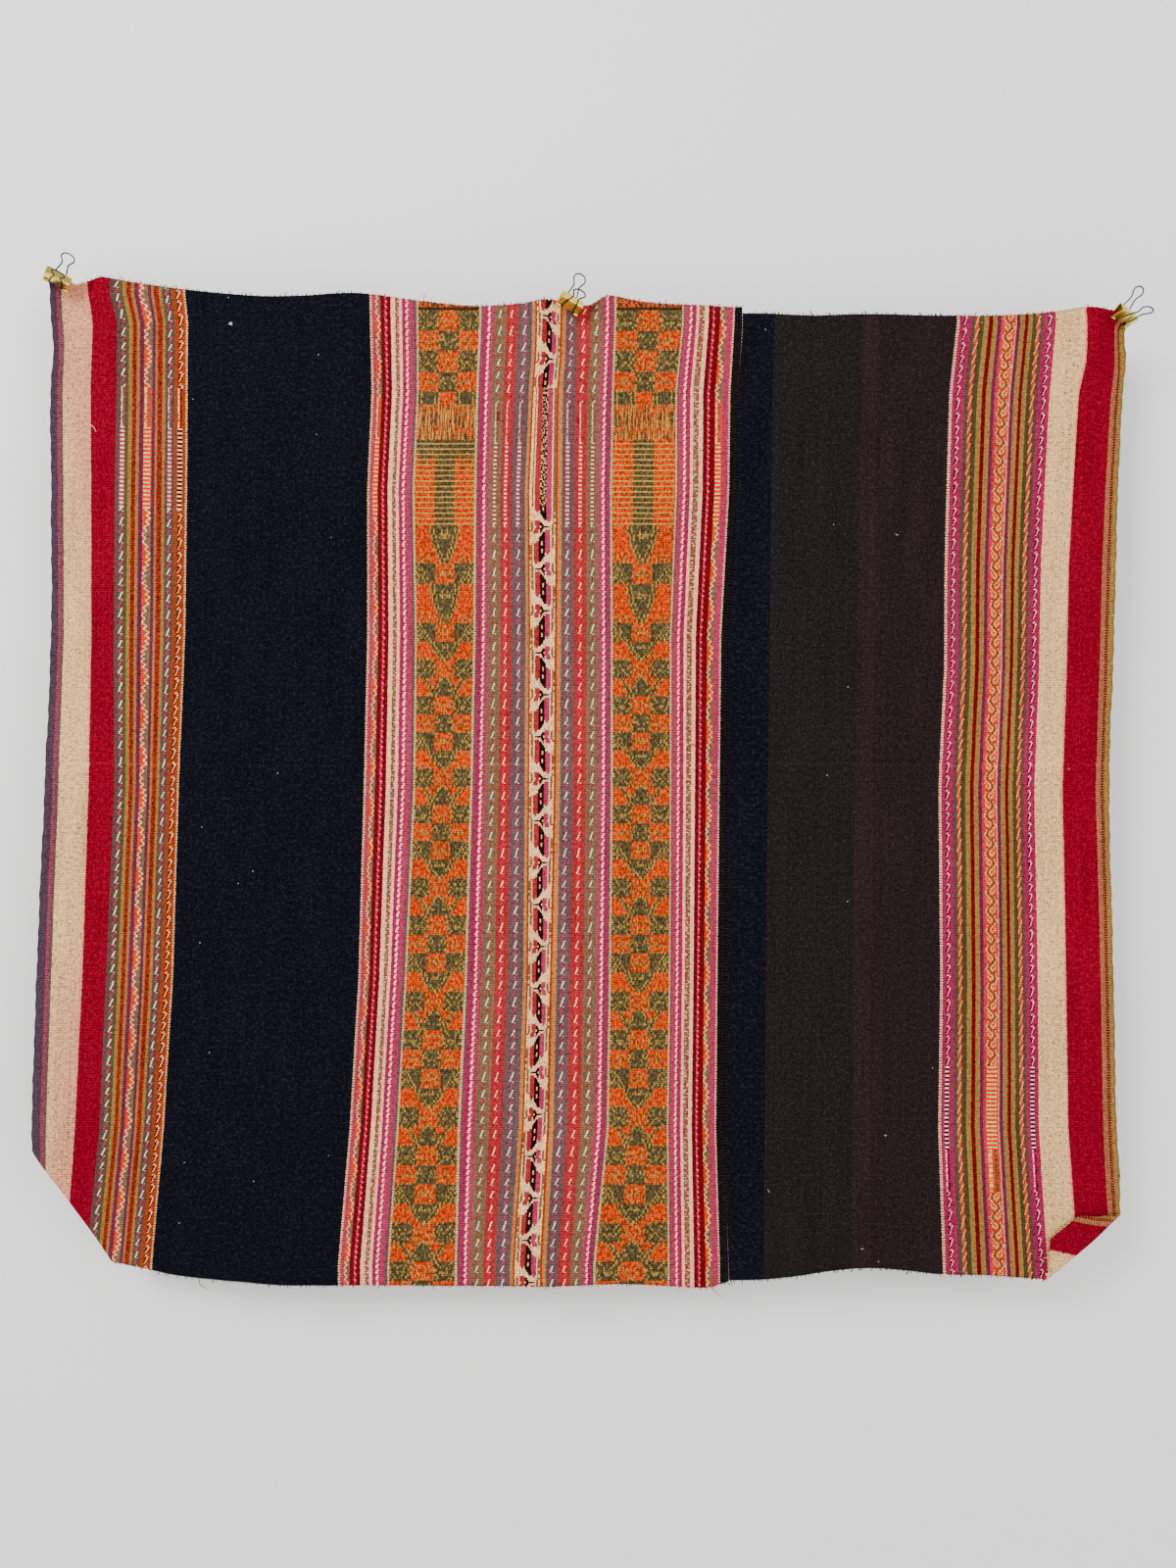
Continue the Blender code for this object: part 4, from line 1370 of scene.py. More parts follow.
@dataclass(frozen=True)
class ClothFinish:
    """The handspun warp-faced cloth of one panel."""

    name: str
    bands: tuple
    zones: Zones
    blocks: tuple = ()
    roughness: float = 0.95
    gloss: float = 0.02
    sheen: float = 0.0
    relief: float = 0.0013

    # What a stripe's start and width are divided by, so that a ramp can hold them as colours.
    start_scale = 2000.0
    width_scale = 1000.0
    # The block bands: their cells, and where along them each change of their weave is.
    block_cells = 30
    middle_cells = 5.0
    heading = (280.0, 317.0)
    heading_line = (314.0, 317.0)
    fine_lines = (413.0, 449.0)
    dashed = (449.0, 537.0)
    dash_pitch = 5.45
    ripening = (452.0, 52.0)
    # The narrow band: its sides, its repeat's start and length, where it is held, and the row that is held there.
    narrow_sides = (548.2, 572.0)
    narrow_repeat = (326.7, 42.8)
    narrow_held = (396.0, 516.0)
    held_row = 9.5
    old_fold_down = 780.2
    old_fold_half = 2.6
    # The colours that are mixed in beside the yarns' own.
    pale_orange, dark_orange = linear("cc7a20"), linear("882000")
    pale_olive, dark_olive = linear("80703e"), linear("362c1a")
    heading_yarn, cream_yarn = linear("3a2414"), linear("f8c890")
    dirt, fuzz, lint = linear("3a2a26"), linear("8a848c"), linear("a89e94")

    def stripes(self, graph: Graph, across: Socket) -> list:
        """Read the stripes.

        Args:
            graph: the material's graph.
            across: the pattern length across the threads.

        Returns:
            The colours of the ground and of the two figured yarns, and the weave's code, start and width as a colour.
        """
        found: list = []
        for band in self.bands:
            span = band.end - band.start
            place = graph.past(across, band.start, span)
            edges = [band.start] + [stripe.end for stripe in band.stripes]
            starts = [(edge - band.start) / span for edge in edges[:-1]]
            columns = (
                [stripe.yarn.paint for stripe in band.stripes],
                [(stripe.first or stripe.yarn).paint for stripe in band.stripes],
                [(stripe.second or stripe.yarn).paint for stripe in band.stripes],
                [(stripe.weave.value, edge / self.start_scale, (stripe.end - edge) / self.width_scale, 1.0)
                 for stripe, edge in zip(band.stripes, edges)],
            )
            if len(band.stripes) == 1:
                made = [column[0] for column in columns]
            else:
                made = [graph.steps(place, zip(starts, column)) for column in columns]
            inside = graph.math("GREATER_THAN", across, band.start)
            found = [graph.blend(inside, low, high) for low, high in zip(found, made)] if found else made
        return found

    def block_rows(self, graph: Graph, along: Socket) -> Socket:
        """Find the chart row of the block band at each place along it."""
        row: Feed = 0.0
        for zone in BLOCK_ZONES:
            rate = (zone.row_end - zone.row_start) / (zone.end - zone.start)
            here = graph.math("MULTIPLY_ADD", along, rate, zone.row_start - zone.start * rate)
            row = graph.mix(graph.math("GREATER_THAN", along, zone.start), row, here)
        return row

    def block_colour(self, graph: Graph, groups: ClothGroups, across: Socket, along: Socket, below: Socket) -> Socket:
        """Lay the block bands over the stripes.

        Args:
            graph: the material's graph.
            groups: the shared node groups.
            across: the pattern length across the threads.
            along: the one along them.
            below: the stripes' colour.

        Returns:
            The colour with the block bands on it.
        """
        row = self.block_rows(graph, along)
        gold = Yarn.STRAW.paint
        mottle = graph.drawn(across, along, 0.6, 0.42, 3.0)
        pale_flecks = graph.math("MULTIPLY", graph.math("GREATER_THAN", mottle, 0.59), 0.6)
        dark_flecks = graph.math("MULTIPLY", graph.math("LESS_THAN", mottle, 0.46), 0.8)
        orange_yarn, olive_yarn = (
            graph.blend(dark_flecks, graph.blend(pale_flecks, yarn.paint, pale), dark)
            for yarn, pale, dark in (
                (Yarn.ORANGE, self.pale_orange, self.dark_orange), (Yarn.OLIVE, self.pale_olive, self.dark_olive),
            )
        )
        slivers = graph.drawn(across, along, 0.06, 0.72)
        heading = graph.blend(graph.math("GREATER_THAN", mottle, 0.5), olive_yarn, orange_yarn)
        heading = graph.blend(graph.between(along, *self.heading_line), heading, self.heading_yarn)
        fine_lines = graph.blend(
            graph.math("GREATER_THAN", slivers, 0.55),
            graph.blend(graph.math("GREATER_THAN", slivers, 0.47), olive_yarn, orange_yarn), gold,
        )
        dashes = graph.repeat(along, self.dash_pitch, 0.25)
        ripening = graph.math("MULTIPLY_ADD", slivers, 1.6, graph.past(along, *self.ripening))
        ripened: Feed = graph.math("GREATER_THAN", ripening, 1.15)
        thin = graph.mix(graph.math("GREATER_THAN", mottle, 0.47), 0.12, 0.82)
        for start, end in self.blocks:
            off = graph.math("ABSOLUTE", graph.math("SUBTRACT", across, (start + end) / 2))
            column = graph.math("DIVIDE", off, (end - start) / self.block_cells)
            chart = groups.blocks.place(graph, Column=column, Row=row)
            ground = graph.blend(chart.outputs["Mask 2"], olive_yarn, orange_yarn)
            thread = graph.math("MULTIPLY", graph.math("MULTIPLY", chart.outputs["Mask 1"], thin),
                                graph.repeat(column, 1.0, 0.74))
            woven = graph.blend(thread, ground, gold)
            middle_block = graph.math("LESS_THAN", column, self.middle_cells)
            plain = graph.blend(middle_block, graph.blend(ripened, olive_yarn, orange_yarn), olive_yarn)
            for stretch, colour in (
                (self.heading, heading), (self.fine_lines, fine_lines), (self.dashed, graph.blend(dashes, plain, gold)),
            ):
                woven = graph.blend(graph.between(along, *stretch), woven, colour)
            below = graph.blend(graph.between(across, start, end), below, woven)
            ripened = 1.0
        return below

    def zigzag_colour(self, graph: Graph, groups: ClothGroups, across: Socket, along: Socket, below: Socket) -> Socket:
        """Lay the narrow band of slanted bars and bows over the stripes.

        Args:
            graph: the material's graph.
            groups: the shared node groups.
            across: the pattern length across the threads.
            along: the one along them.
            below: the colour so far.

        Returns:
            The colour with the band on it.
        """
        left, right = self.narrow_sides
        start, repeat = self.narrow_repeat
        column = graph.past(across, left, (right - left) / len(SLANT[0]))
        row = graph.past(along, start, repeat / len(SLANT))
        held = graph.between(along, *self.narrow_held)
        chart = groups.zigzag.place(graph, Column=column, Row=graph.mix(held, row, self.held_row))
        coloured_cells, rose_or_dark, moss_cells = (chart.outputs[f"Mask {k}"] for k in (1, 2, 3))
        flecks = graph.noise(graph.vector(graph.math("MULTIPLY", column, 2.0), along), 0.42, 2.0)
        cream = graph.blend(graph.math("LESS_THAN", flecks, 0.4), self.cream_yarn, Yarn.STRAW.paint)
        coloured = graph.blend(rose_or_dark, Yarn.RED.paint, Yarn.ROSE_PINK.paint)
        woven = graph.blend(coloured_cells, cream, coloured)
        only_dark = graph.math("MULTIPLY", rose_or_dark, graph.math("SUBTRACT", 1.0, coloured_cells))
        broken = graph.mix(held, 1.0, graph.math("GREATER_THAN", flecks, 0.45))
        woven = graph.blend(graph.math("MULTIPLY", only_dark, broken), woven, Yarn.BLACK.paint)
        woven = graph.blend(moss_cells, woven, Yarn.MOSS.paint)
        return graph.blend(graph.between(across, left, right), below, woven)

    def old_fold(self, graph: Graph, across: Socket, along: Socket) -> Socket:
        """Make the mask of the lighter line along the old fold."""
        bend = graph.math("SINE", graph.math("MULTIPLY_ADD", across, UNIT / 61, 0.7 - ZERO_ACROSS * UNIT / 61))
        off = graph.math("MULTIPLY_ADD", bend, -1.2, graph.math("SUBTRACT", along, self.old_fold_down))
        away = graph.math("DIVIDE", graph.math("ABSOLUTE", off), self.old_fold_half)
        return graph.clamped(graph.math("SUBTRACT", 1.0, away))

    def material(self, groups: ClothGroups) -> bpy.types.Material:
        """Make the panel's material.

        Args:
            groups: the shared node groups.

        Returns:
            The finished material.
        """
        material, graph, shader = new_material(self.name)
        pattern = graph.node("ShaderNodeUVMap", uv_map="pattern").outputs[0]
        parts = graph.node("ShaderNodeSeparateXYZ")
        graph.feed(parts.inputs[0], pattern)
        along = graph.math("MULTIPLY", parts.outputs[1], 1 / UV_SCALE)
        straight = graph.math("MULTIPLY", parts.outputs[0], 1 / UV_SCALE)
        jitter = graph.noise(graph.vector(graph.math("MULTIPLY", straight, 0.4), along), 0.33, 3.0)
        across = graph.math("ADD", straight, graph.math("MULTIPLY", graph.math("SUBTRACT", jitter, 0.5), 1.5))
        ground, first, second, facts = self.stripes(graph, across)
        code, stripe_start, stripe_width = graph.split(facts)
        local = graph.math(
            "DIVIDE", graph.math("MULTIPLY_ADD", stripe_start, -self.start_scale, across),
            graph.math("MULTIPLY", stripe_width, self.width_scale),
        )
        yarn = groups.yarn.place(graph, Across=straight, Along=along)
        slant = graph.math("MAXIMUM", graph.math("MULTIPLY_ADD", across, -0.045, 22.5), 0.0)
        figure = groups.figure.place(
            graph, Code=code, Local=local, Along=graph.math("ADD", along, slant),
            Lines_from=self.zones.lines[0], Lines_to=self.zones.lines[1],
            Rungs_from=self.zones.rungs[0], Rungs_to=self.zones.rungs[1],
        )
        colour = graph.blend(figure.outputs["First"], ground, first)
        colour = graph.blend(figure.outputs["Second"], colour, second)
        if self.blocks:
            colour = self.block_colour(graph, groups, across, along, colour)
            colour = self.zigzag_colour(graph, groups, across, along, colour)
        colour = graph.blend(graph.math("MULTIPLY", yarn.outputs["Dirt"], 0.12), colour, self.dirt)
        fuzz = graph.rising(graph.noise(graph.vector(straight, along), 0.3, 2.0), 0.5, 6.0)
        colour = graph.blend(graph.math("MULTIPLY", fuzz, 0.025), colour, self.fuzz)
        # The yarn's painted shade between its ribs and its uneven tone, with the lighter line along the old fold, are
        # multiplied into the colour.
        shade = graph.math("MULTIPLY_ADD", self.old_fold(graph, straight, along), 0.26, yarn.outputs["Shade"])
        colour = graph.blend(1.0, colour, graph.vector(shade, shade, shade), "MULTIPLY")
        colour = graph.blend(yarn.outputs["Lint"], colour, self.lint)
        graph.feed(shader.inputs["Base Color"], colour)
        graph.bump(shader, yarn.outputs["Height"], 0.7, self.relief)
        shader.inputs["Roughness"].default_value = self.roughness
        shader.inputs["Specular IOR Level"].default_value = self.gloss
        shader.inputs["Sheen Weight"].default_value = self.sheen
        shader.inputs["Sheen Roughness"].default_value = 0.6
        return material


@dataclass(frozen=True)
class MetalFinish:
    """Plated sheet or wire: its colour, and the colour of its patches, which are scuffs, and on the plated sheet also
    painted shade in a darker gold.
    """

    name: str
    colour: str
    wear_and_shade_colour: str
    roughness: float
    wear_and_shade_share: float
    metallic: float = 1.0

    def material(self, groups: ClothGroups) -> bpy.types.Material:
        """Make the metal's material.

        Args:
            groups: the shared node groups.

        Returns:
            The finished material.
        """
        material, graph, shader = new_material(self.name)
        wear_and_shade_patches = groups.wear_and_shade_patches.place(graph, Scale=220.0)
        wear_and_shade_amount = graph.math("MULTIPLY", wear_and_shade_patches.outputs["Wear and shade"], self.wear_and_shade_share)
        # Painted shade on the plated sheet, and scuffs on the wire: the patches blend to the second colour.
        graph.feed(shader.inputs["Base Color"], graph.blend(wear_and_shade_amount, linear(self.colour), linear(self.wear_and_shade_colour)))
        rough = graph.math("MULTIPLY_ADD", wear_and_shade_patches.outputs["Grain"], 0.16, self.roughness - 0.08)
        graph.feed(shader.inputs["Roughness"], graph.math("MULTIPLY_ADD", wear_and_shade_patches.outputs["Wear and shade"], 0.12, rough))
        shader.inputs["Metallic"].default_value = self.metallic
        graph.bump(shader, wear_and_shade_patches.outputs["Grain"], 0.12, 0.0002)
        return material


@dataclass(frozen=True)
class YarnFinish:
    """A single plied yarn, such as a stitch or a loose end."""

    name: str
    colour: str
    other: str

    def material(self) -> bpy.types.Material:
        """Make the yarn's material."""
        material, graph, shader = new_material(self.name)
        place = graph.node("ShaderNodeTexCoord").outputs["Object"]
        fibre = graph.noise(place, 1400.0, 3.0)
        graph.feed(shader.inputs["Base Color"], graph.blend(fibre, linear(self.colour), linear(self.other)))
        graph.bump(shader, fibre, 0.5, 0.0004)
        shader.inputs["Roughness"].default_value = 0.95
        shader.inputs["Specular IOR Level"].default_value = 0.05
        return material


def put(name: str, data: bpy.types.ID) -> bpy.types.Object:
    """Make an object of its data and put it in the scene."""
    item = bpy.data.objects.new(name, data)
    bpy.context.scene.collection.objects.link(item)
    return item


def show(name: str, mesh: bmesh.types.BMesh, material: bpy.types.Material, sharp: float = 40.0) -> bpy.types.Object:
    """Turn a bmesh into a dressed object of the scene.

    Args:
        name: the object's name.
        mesh: the bmesh, which is freed.
        material: its finish.
        sharp: the angle in degrees past which an edge is sharp.

    Returns:
        The new object.
    """
    data = bpy.data.meshes.new(name)
    mesh.to_mesh(data)
    mesh.free()
    data.materials.append(material)
    data.shade_smooth()
    data.set_sharp_from_angle(angle=math.radians(sharp))
    return put(name, data)


class YarnEnds:
    """Collects short lengths of yarn as thin tubes in one bmesh, with the pattern lengths of their roots."""

    def __init__(self) -> None:
        """Start with no yarn."""
        self.mesh = bmesh.new()
        self.pattern = self.mesh.loops.layers.uv.new("pattern")

    def add(self, path: Sequence[Vector], radius: float, sides: int, pattern: tuple = (0.0, 0.0)) -> None:
        """Add one tube, closed at both ends.

        Args:
            path: the points of its middle line, in millimetres.
            radius: how thick it is at its root, in millimetres; it thins a little to its end.
            sides: how many sides it has.
            pattern: the pattern lengths that its colour is read at.
        """
        first = (path[1] - path[0]).normalized()
        across = first.cross(Vector((0.31, 0.82, 0.47))).normalized()
        rings = []
        for k, place in enumerate(path):
            ahead = path[min(k + 1, len(path) - 1)] - path[max(k - 1, 0)]
            along = ahead.normalized()
            across = (across - along * across.dot(along)).normalized()
            other = along.cross(across)
            thick = radius * (1 - 0.35 * k / (len(path) - 1))
            rings.append([
                self.mesh.verts.new((place + (across * math.cos(a) + other * math.sin(a)) * thick) * MM)
                for a in (2 * math.pi * s / sides for s in range(sides))
            ])
        faces = [self.mesh.faces.new(rings[0][::-1]), self.mesh.faces.new(rings[-1])]
        for low, high in zip(rings, rings[1:]):
            for s in range(sides):
                t = (s + 1) % sides
                faces.append(self.mesh.faces.new((low[s], low[t], high[t], high[s])))
        for face in faces:
            for loop in face.loops:
                loop[self.pattern].uv = Vector(pattern) * UV_SCALE


def scatter(k: int, salt: float) -> float:
    """A repeatable uneven number from 0 to 1 for a counted thing."""
    value = math.sin(k * 12.9898 + salt * 78.233) * 43758.5453
    return value - math.floor(value)


@dataclass
class LoomPanel:
    """One panel of the cloth: a thin sheet on its solid's folds, with the ends of its warps along both ends."""

    form: PanelForm
    finish: ClothFinish
    holes: tuple = ()
    tuft_count: int = 240
    fold_cuts: int = 8
    fold_reach: float = 12.0
    tuft_shortest: float = 0.7
    tuft_spread: float = 1.9
    long_every: int = 19
    long_extra: float = 2.4

    def flat_mesh(self) -> bmesh.types.BMesh:
        """Cut the flat sheet, finely along its folds and with its small holes.

        Returns:
            The flat sheet, in millimetres.
        """
        form = self.form
        mesh = bmesh.new()
        bmesh.ops.create_grid(mesh, x_segments=form.columns, y_segments=form.rows, size=0.5)
        for vert in mesh.verts:
            vert.co = Vector(((vert.co.x + 0.5) * form.width, (vert.co.y + 0.5) * form.length, 0))
        for u, v, radius in self.holes:
            self.cut_hole(mesh, Vector((u, v, 0)), radius)
        for fold in form.folds:
            across, down, corner = fold.line(form.width)
            normal = Vector((across, down, 0))
            start = Vector((corner, form.length, 0)) - normal * fold.from_corner
            for k in range(self.fold_cuts + 1):
                line = start + normal * math.pi * fold.radius * k / self.fold_cuts
                near = [
                    face for face in mesh.faces
                    if abs((face.calc_center_median() - line).dot(normal)) < self.fold_reach
                ]
                items = set(near)
                for face in near:
                    items.update(face.edges)
                    items.update(face.verts)
                bmesh.ops.bisect_plane(mesh, geom=list(items), dist=1e-4, plane_co=line, plane_no=normal)
        bmesh.ops.dissolve_degenerate(mesh, edges=mesh.edges[:], dist=0.08)
        bmesh.ops.triangulate(mesh, faces=[face for face in mesh.faces if len(face.verts) > 4])
        return mesh

    def cut_hole(self, mesh: bmesh.types.BMesh, centre: Vector, radius: float) -> None:
        """Cut a small ragged hole in the flat sheet.

        Args:
            mesh: the flat sheet.
            centre: the hole's middle.
            radius: its mean radius.
        """
        middle = min(mesh.verts, key=lambda vert: (vert.co - centre).length)
        rim = {other for face in middle.link_faces for other in face.verts} - {middle}
        for k, vert in enumerate(sorted(rim, key=lambda item: (round(item.co.x, 2), round(item.co.y, 2)))):
            arm = (vert.co - middle.co).normalized()
            vert.co = centre + arm * radius * (0.75 + 0.5 * scatter(k, 3.1))
        bmesh.ops.delete(mesh, geom=[middle], context="VERTS")

    def build(self, groups: ClothGroups) -> bpy.types.Object:
        """Cut the sheet, lay out its pattern, fold it, hang it and give it its thickness.

        Args:
            groups: the shared node groups.

        Returns:
            The sheet's object.
        """
        form = self.form
        mesh = self.flat_mesh()
        mesh.verts.index_update()
        flat = np.array([vert.co for vert in mesh.verts], float)
        u, v = flat[:, 0], flat[:, 1]
        across, along = form.pattern_place(u, v)
        placed = form.draped(u + self.edge_wander(u, v), v, np.zeros_like(u)) * MM
        layer = mesh.loops.layers.uv.new("pattern")
        for face in mesh.faces:
            for loop in face.loops:
                k = loop.vert.index
                loop[layer].uv = (across[k] * UV_SCALE, along[k] * UV_SCALE)
        for vert in mesh.verts:
            vert.co = placed[vert.index]
        bmesh.ops.reverse_faces(mesh, faces=mesh.faces[:])
        material = self.finish.material(groups)
        sheet = show(form.name + "_cloth", mesh, material, 60.0)
        wall = sheet.modifiers.new("thickness", "SOLIDIFY")
        wall.thickness = CLOTH_THICK * MM
        wall.offset = 0.0
        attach(sheet, "root")
        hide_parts(form.name)
        tufts = self.build_tufts(material)
        LOG.info("%s built with %d vertices", sheet.name, len(sheet.data.vertices))
        return sheet

    def edge_wander(self, u: Array, v: Array) -> Array:
        """Find how far the turns of the weft take each side edge in or out, fading into the sheet."""
        form = self.form
        size = 0.45 * np.sin(v / 3.1) + 0.3 * np.sin(v / 7.9 + 1.3) + 0.25 * np.sin(v / 19.0)
        left = np.exp(-u / 5) if form.left == 0 else np.zeros_like(u)
        right = np.exp(-(form.width - u) / 5) if form.right == 2 else np.zeros_like(u)
        return size * (right - left) * 0.8

    def build_tufts(self, material: bpy.types.Material) -> bpy.types.Object:
        """Set the short ends of the warps along the top and bottom ends.

        Args:
            material: the panel's finish, which the tufts read at their roots.

        Returns:
            The tufts' object.
        """
        form, ends = self.form, YarnEnds()
        for end in (0, 1):
            for k in range(self.tuft_count):
                share = (k + 0.15 + 0.7 * scatter(k, end + 0.4)) / self.tuft_count
                length = self.tuft_shortest + self.tuft_spread * scatter(k, end + 5.0) ** 2
                if k % self.long_every == 4:
                    length += self.long_extra
                u = np.full(4, share * form.width)
                inside = np.linspace(1.0, -0.2, 4)
                v = inside if end == 0 else form.length - inside
                level = np.full(4, 0.5 * (scatter(k, 8.0) - 0.5))
                root = form.draped(u, v, level)
                start, out = Vector(root[-1]), (Vector(root[-1]) - Vector(root[0])).normalized()
                lean = Vector((scatter(k, 1.7) - 0.5, scatter(k, 2.9) - 0.5, 0)) * 1.3
                path = [Vector(root[1])]
                path += [start + out * length * t + lean * length * t * t for t in (0.0, 0.35, 0.7, 1.0)]
                place = form.pattern_place(u[:1], v[:1])
                thick = 0.5 + 0.3 * scatter(k, end + 9.0)
                ends.add(path, thick, 4, (float(place[0][0]), float(place[1][0])))
        tufts = show(form.name + "_warp_ends", ends.mesh, material)
        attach(tufts, "root")
        return tufts


@dataclass
class SeamStitches:
    """The dark hand stitches that join the two panels edge to edge."""

    left: PanelForm
    right: PanelForm
    finish: YarnFinish = YarnFinish("seam_yarn", "14100f", "2b2322")
    pitch: float = 3.3
    reach: float = 3.4
    radius: float = 0.5
    lift: float = 0.45

    def build(self) -> bpy.types.Object:
        """Sew the stitches across the gap, on the front and on the back.

        Returns:
            The stitches' object.
        """
        ends = YarnEnds()
        count = int((self.right.length - 6) / self.pitch)
        for k in range(count):
            share = (k + 0.5 + 0.25 * (scatter(k, 0.6) - 0.5)) / count
            arm = self.reach * (0.8 + 0.4 * scatter(k, 4.2))
            for side in (1, -1):
                high = side * (CLOTH_THICK / 2 + self.lift)
                low = side * (CLOTH_THICK / 2 - 0.3)
                slant = 1.3 * side
                left_drop, right_drop = self.drops(share)
                one = self.left.draped(
                    np.array([self.left.width - arm, self.left.width - arm * 0.6]),
                    np.array([left_drop, left_drop + slant * 0.3]), np.array([low, high]),
                )
                two = self.right.draped(
                    np.array([arm * 0.6, arm]), np.array([right_drop + slant * 0.8, right_drop + slant]),
                    np.array([high, low]),
                )
                middle = (Vector(one[1]) + Vector(two[0])) / 2
                ends.add([Vector(one[0]), Vector(one[1]), middle, Vector(two[0]), Vector(two[1])], self.radius, 5)
        stitches = show("seam_stitches", ends.mesh, self.finish.material())
        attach(stitches, "root")
        LOG.info("seam sewn with %d stitches on each face", count)
        return stitches

    def drops(self, share: float) -> tuple:
        """The flat places down the two panels that hang at the same height, at a share of the seam's length."""
        left_top, left_hem = (float(c[0]) for c in dense_table(LEFT_ENDS, np.array([1.0])))
        right_top, right_hem = (float(c[0]) for c in dense_table(RIGHT_ENDS, np.array([0.0])))
        height = right_top + 3 + (min(left_hem, right_hem) - right_top - 6) * share
        on_left = (height - left_top) / (left_hem - left_top) * self.left.length
        on_right = (height - right_top) / (right_hem - right_top) * self.right.length
        return on_left, on_right


class LooseYarn(NamedTuple):
    """A loose length of yarn: its thickness, and its knots across and down the photograph and out of the cloth."""

    radius: float
    knots: tuple


@dataclass
class LooseYarns:
    """The loose yarns of one colour that lie on one panel or stick out of it."""

    name: str
    form: PanelForm
    finish: YarnFinish
    yarns: tuple
    steps: int = 14

    def build(self) -> bpy.types.Object:
        """Lay the yarns on the hanging cloth.

        Returns:
            The yarns' object.
        """
        ends = YarnEnds()
        for yarn in self.yarns:
            rows = [(float(k), *knot) for k, knot in enumerate(yarn.knots)]
            across, down, lift = dense_table(rows, np.linspace(0, len(rows) - 1, self.steps))
            u, v = self.form.flat_place(across, down)
            points = self.form.draped(u, v, lift + CLOTH_THICK / 2)
            ends.add([Vector(point) for point in points], yarn.radius, 6)
        item = show(self.name, ends.mesh, self.finish.material())
        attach(item, "root")
        LOG.info("%s laid", self.name)
        return item


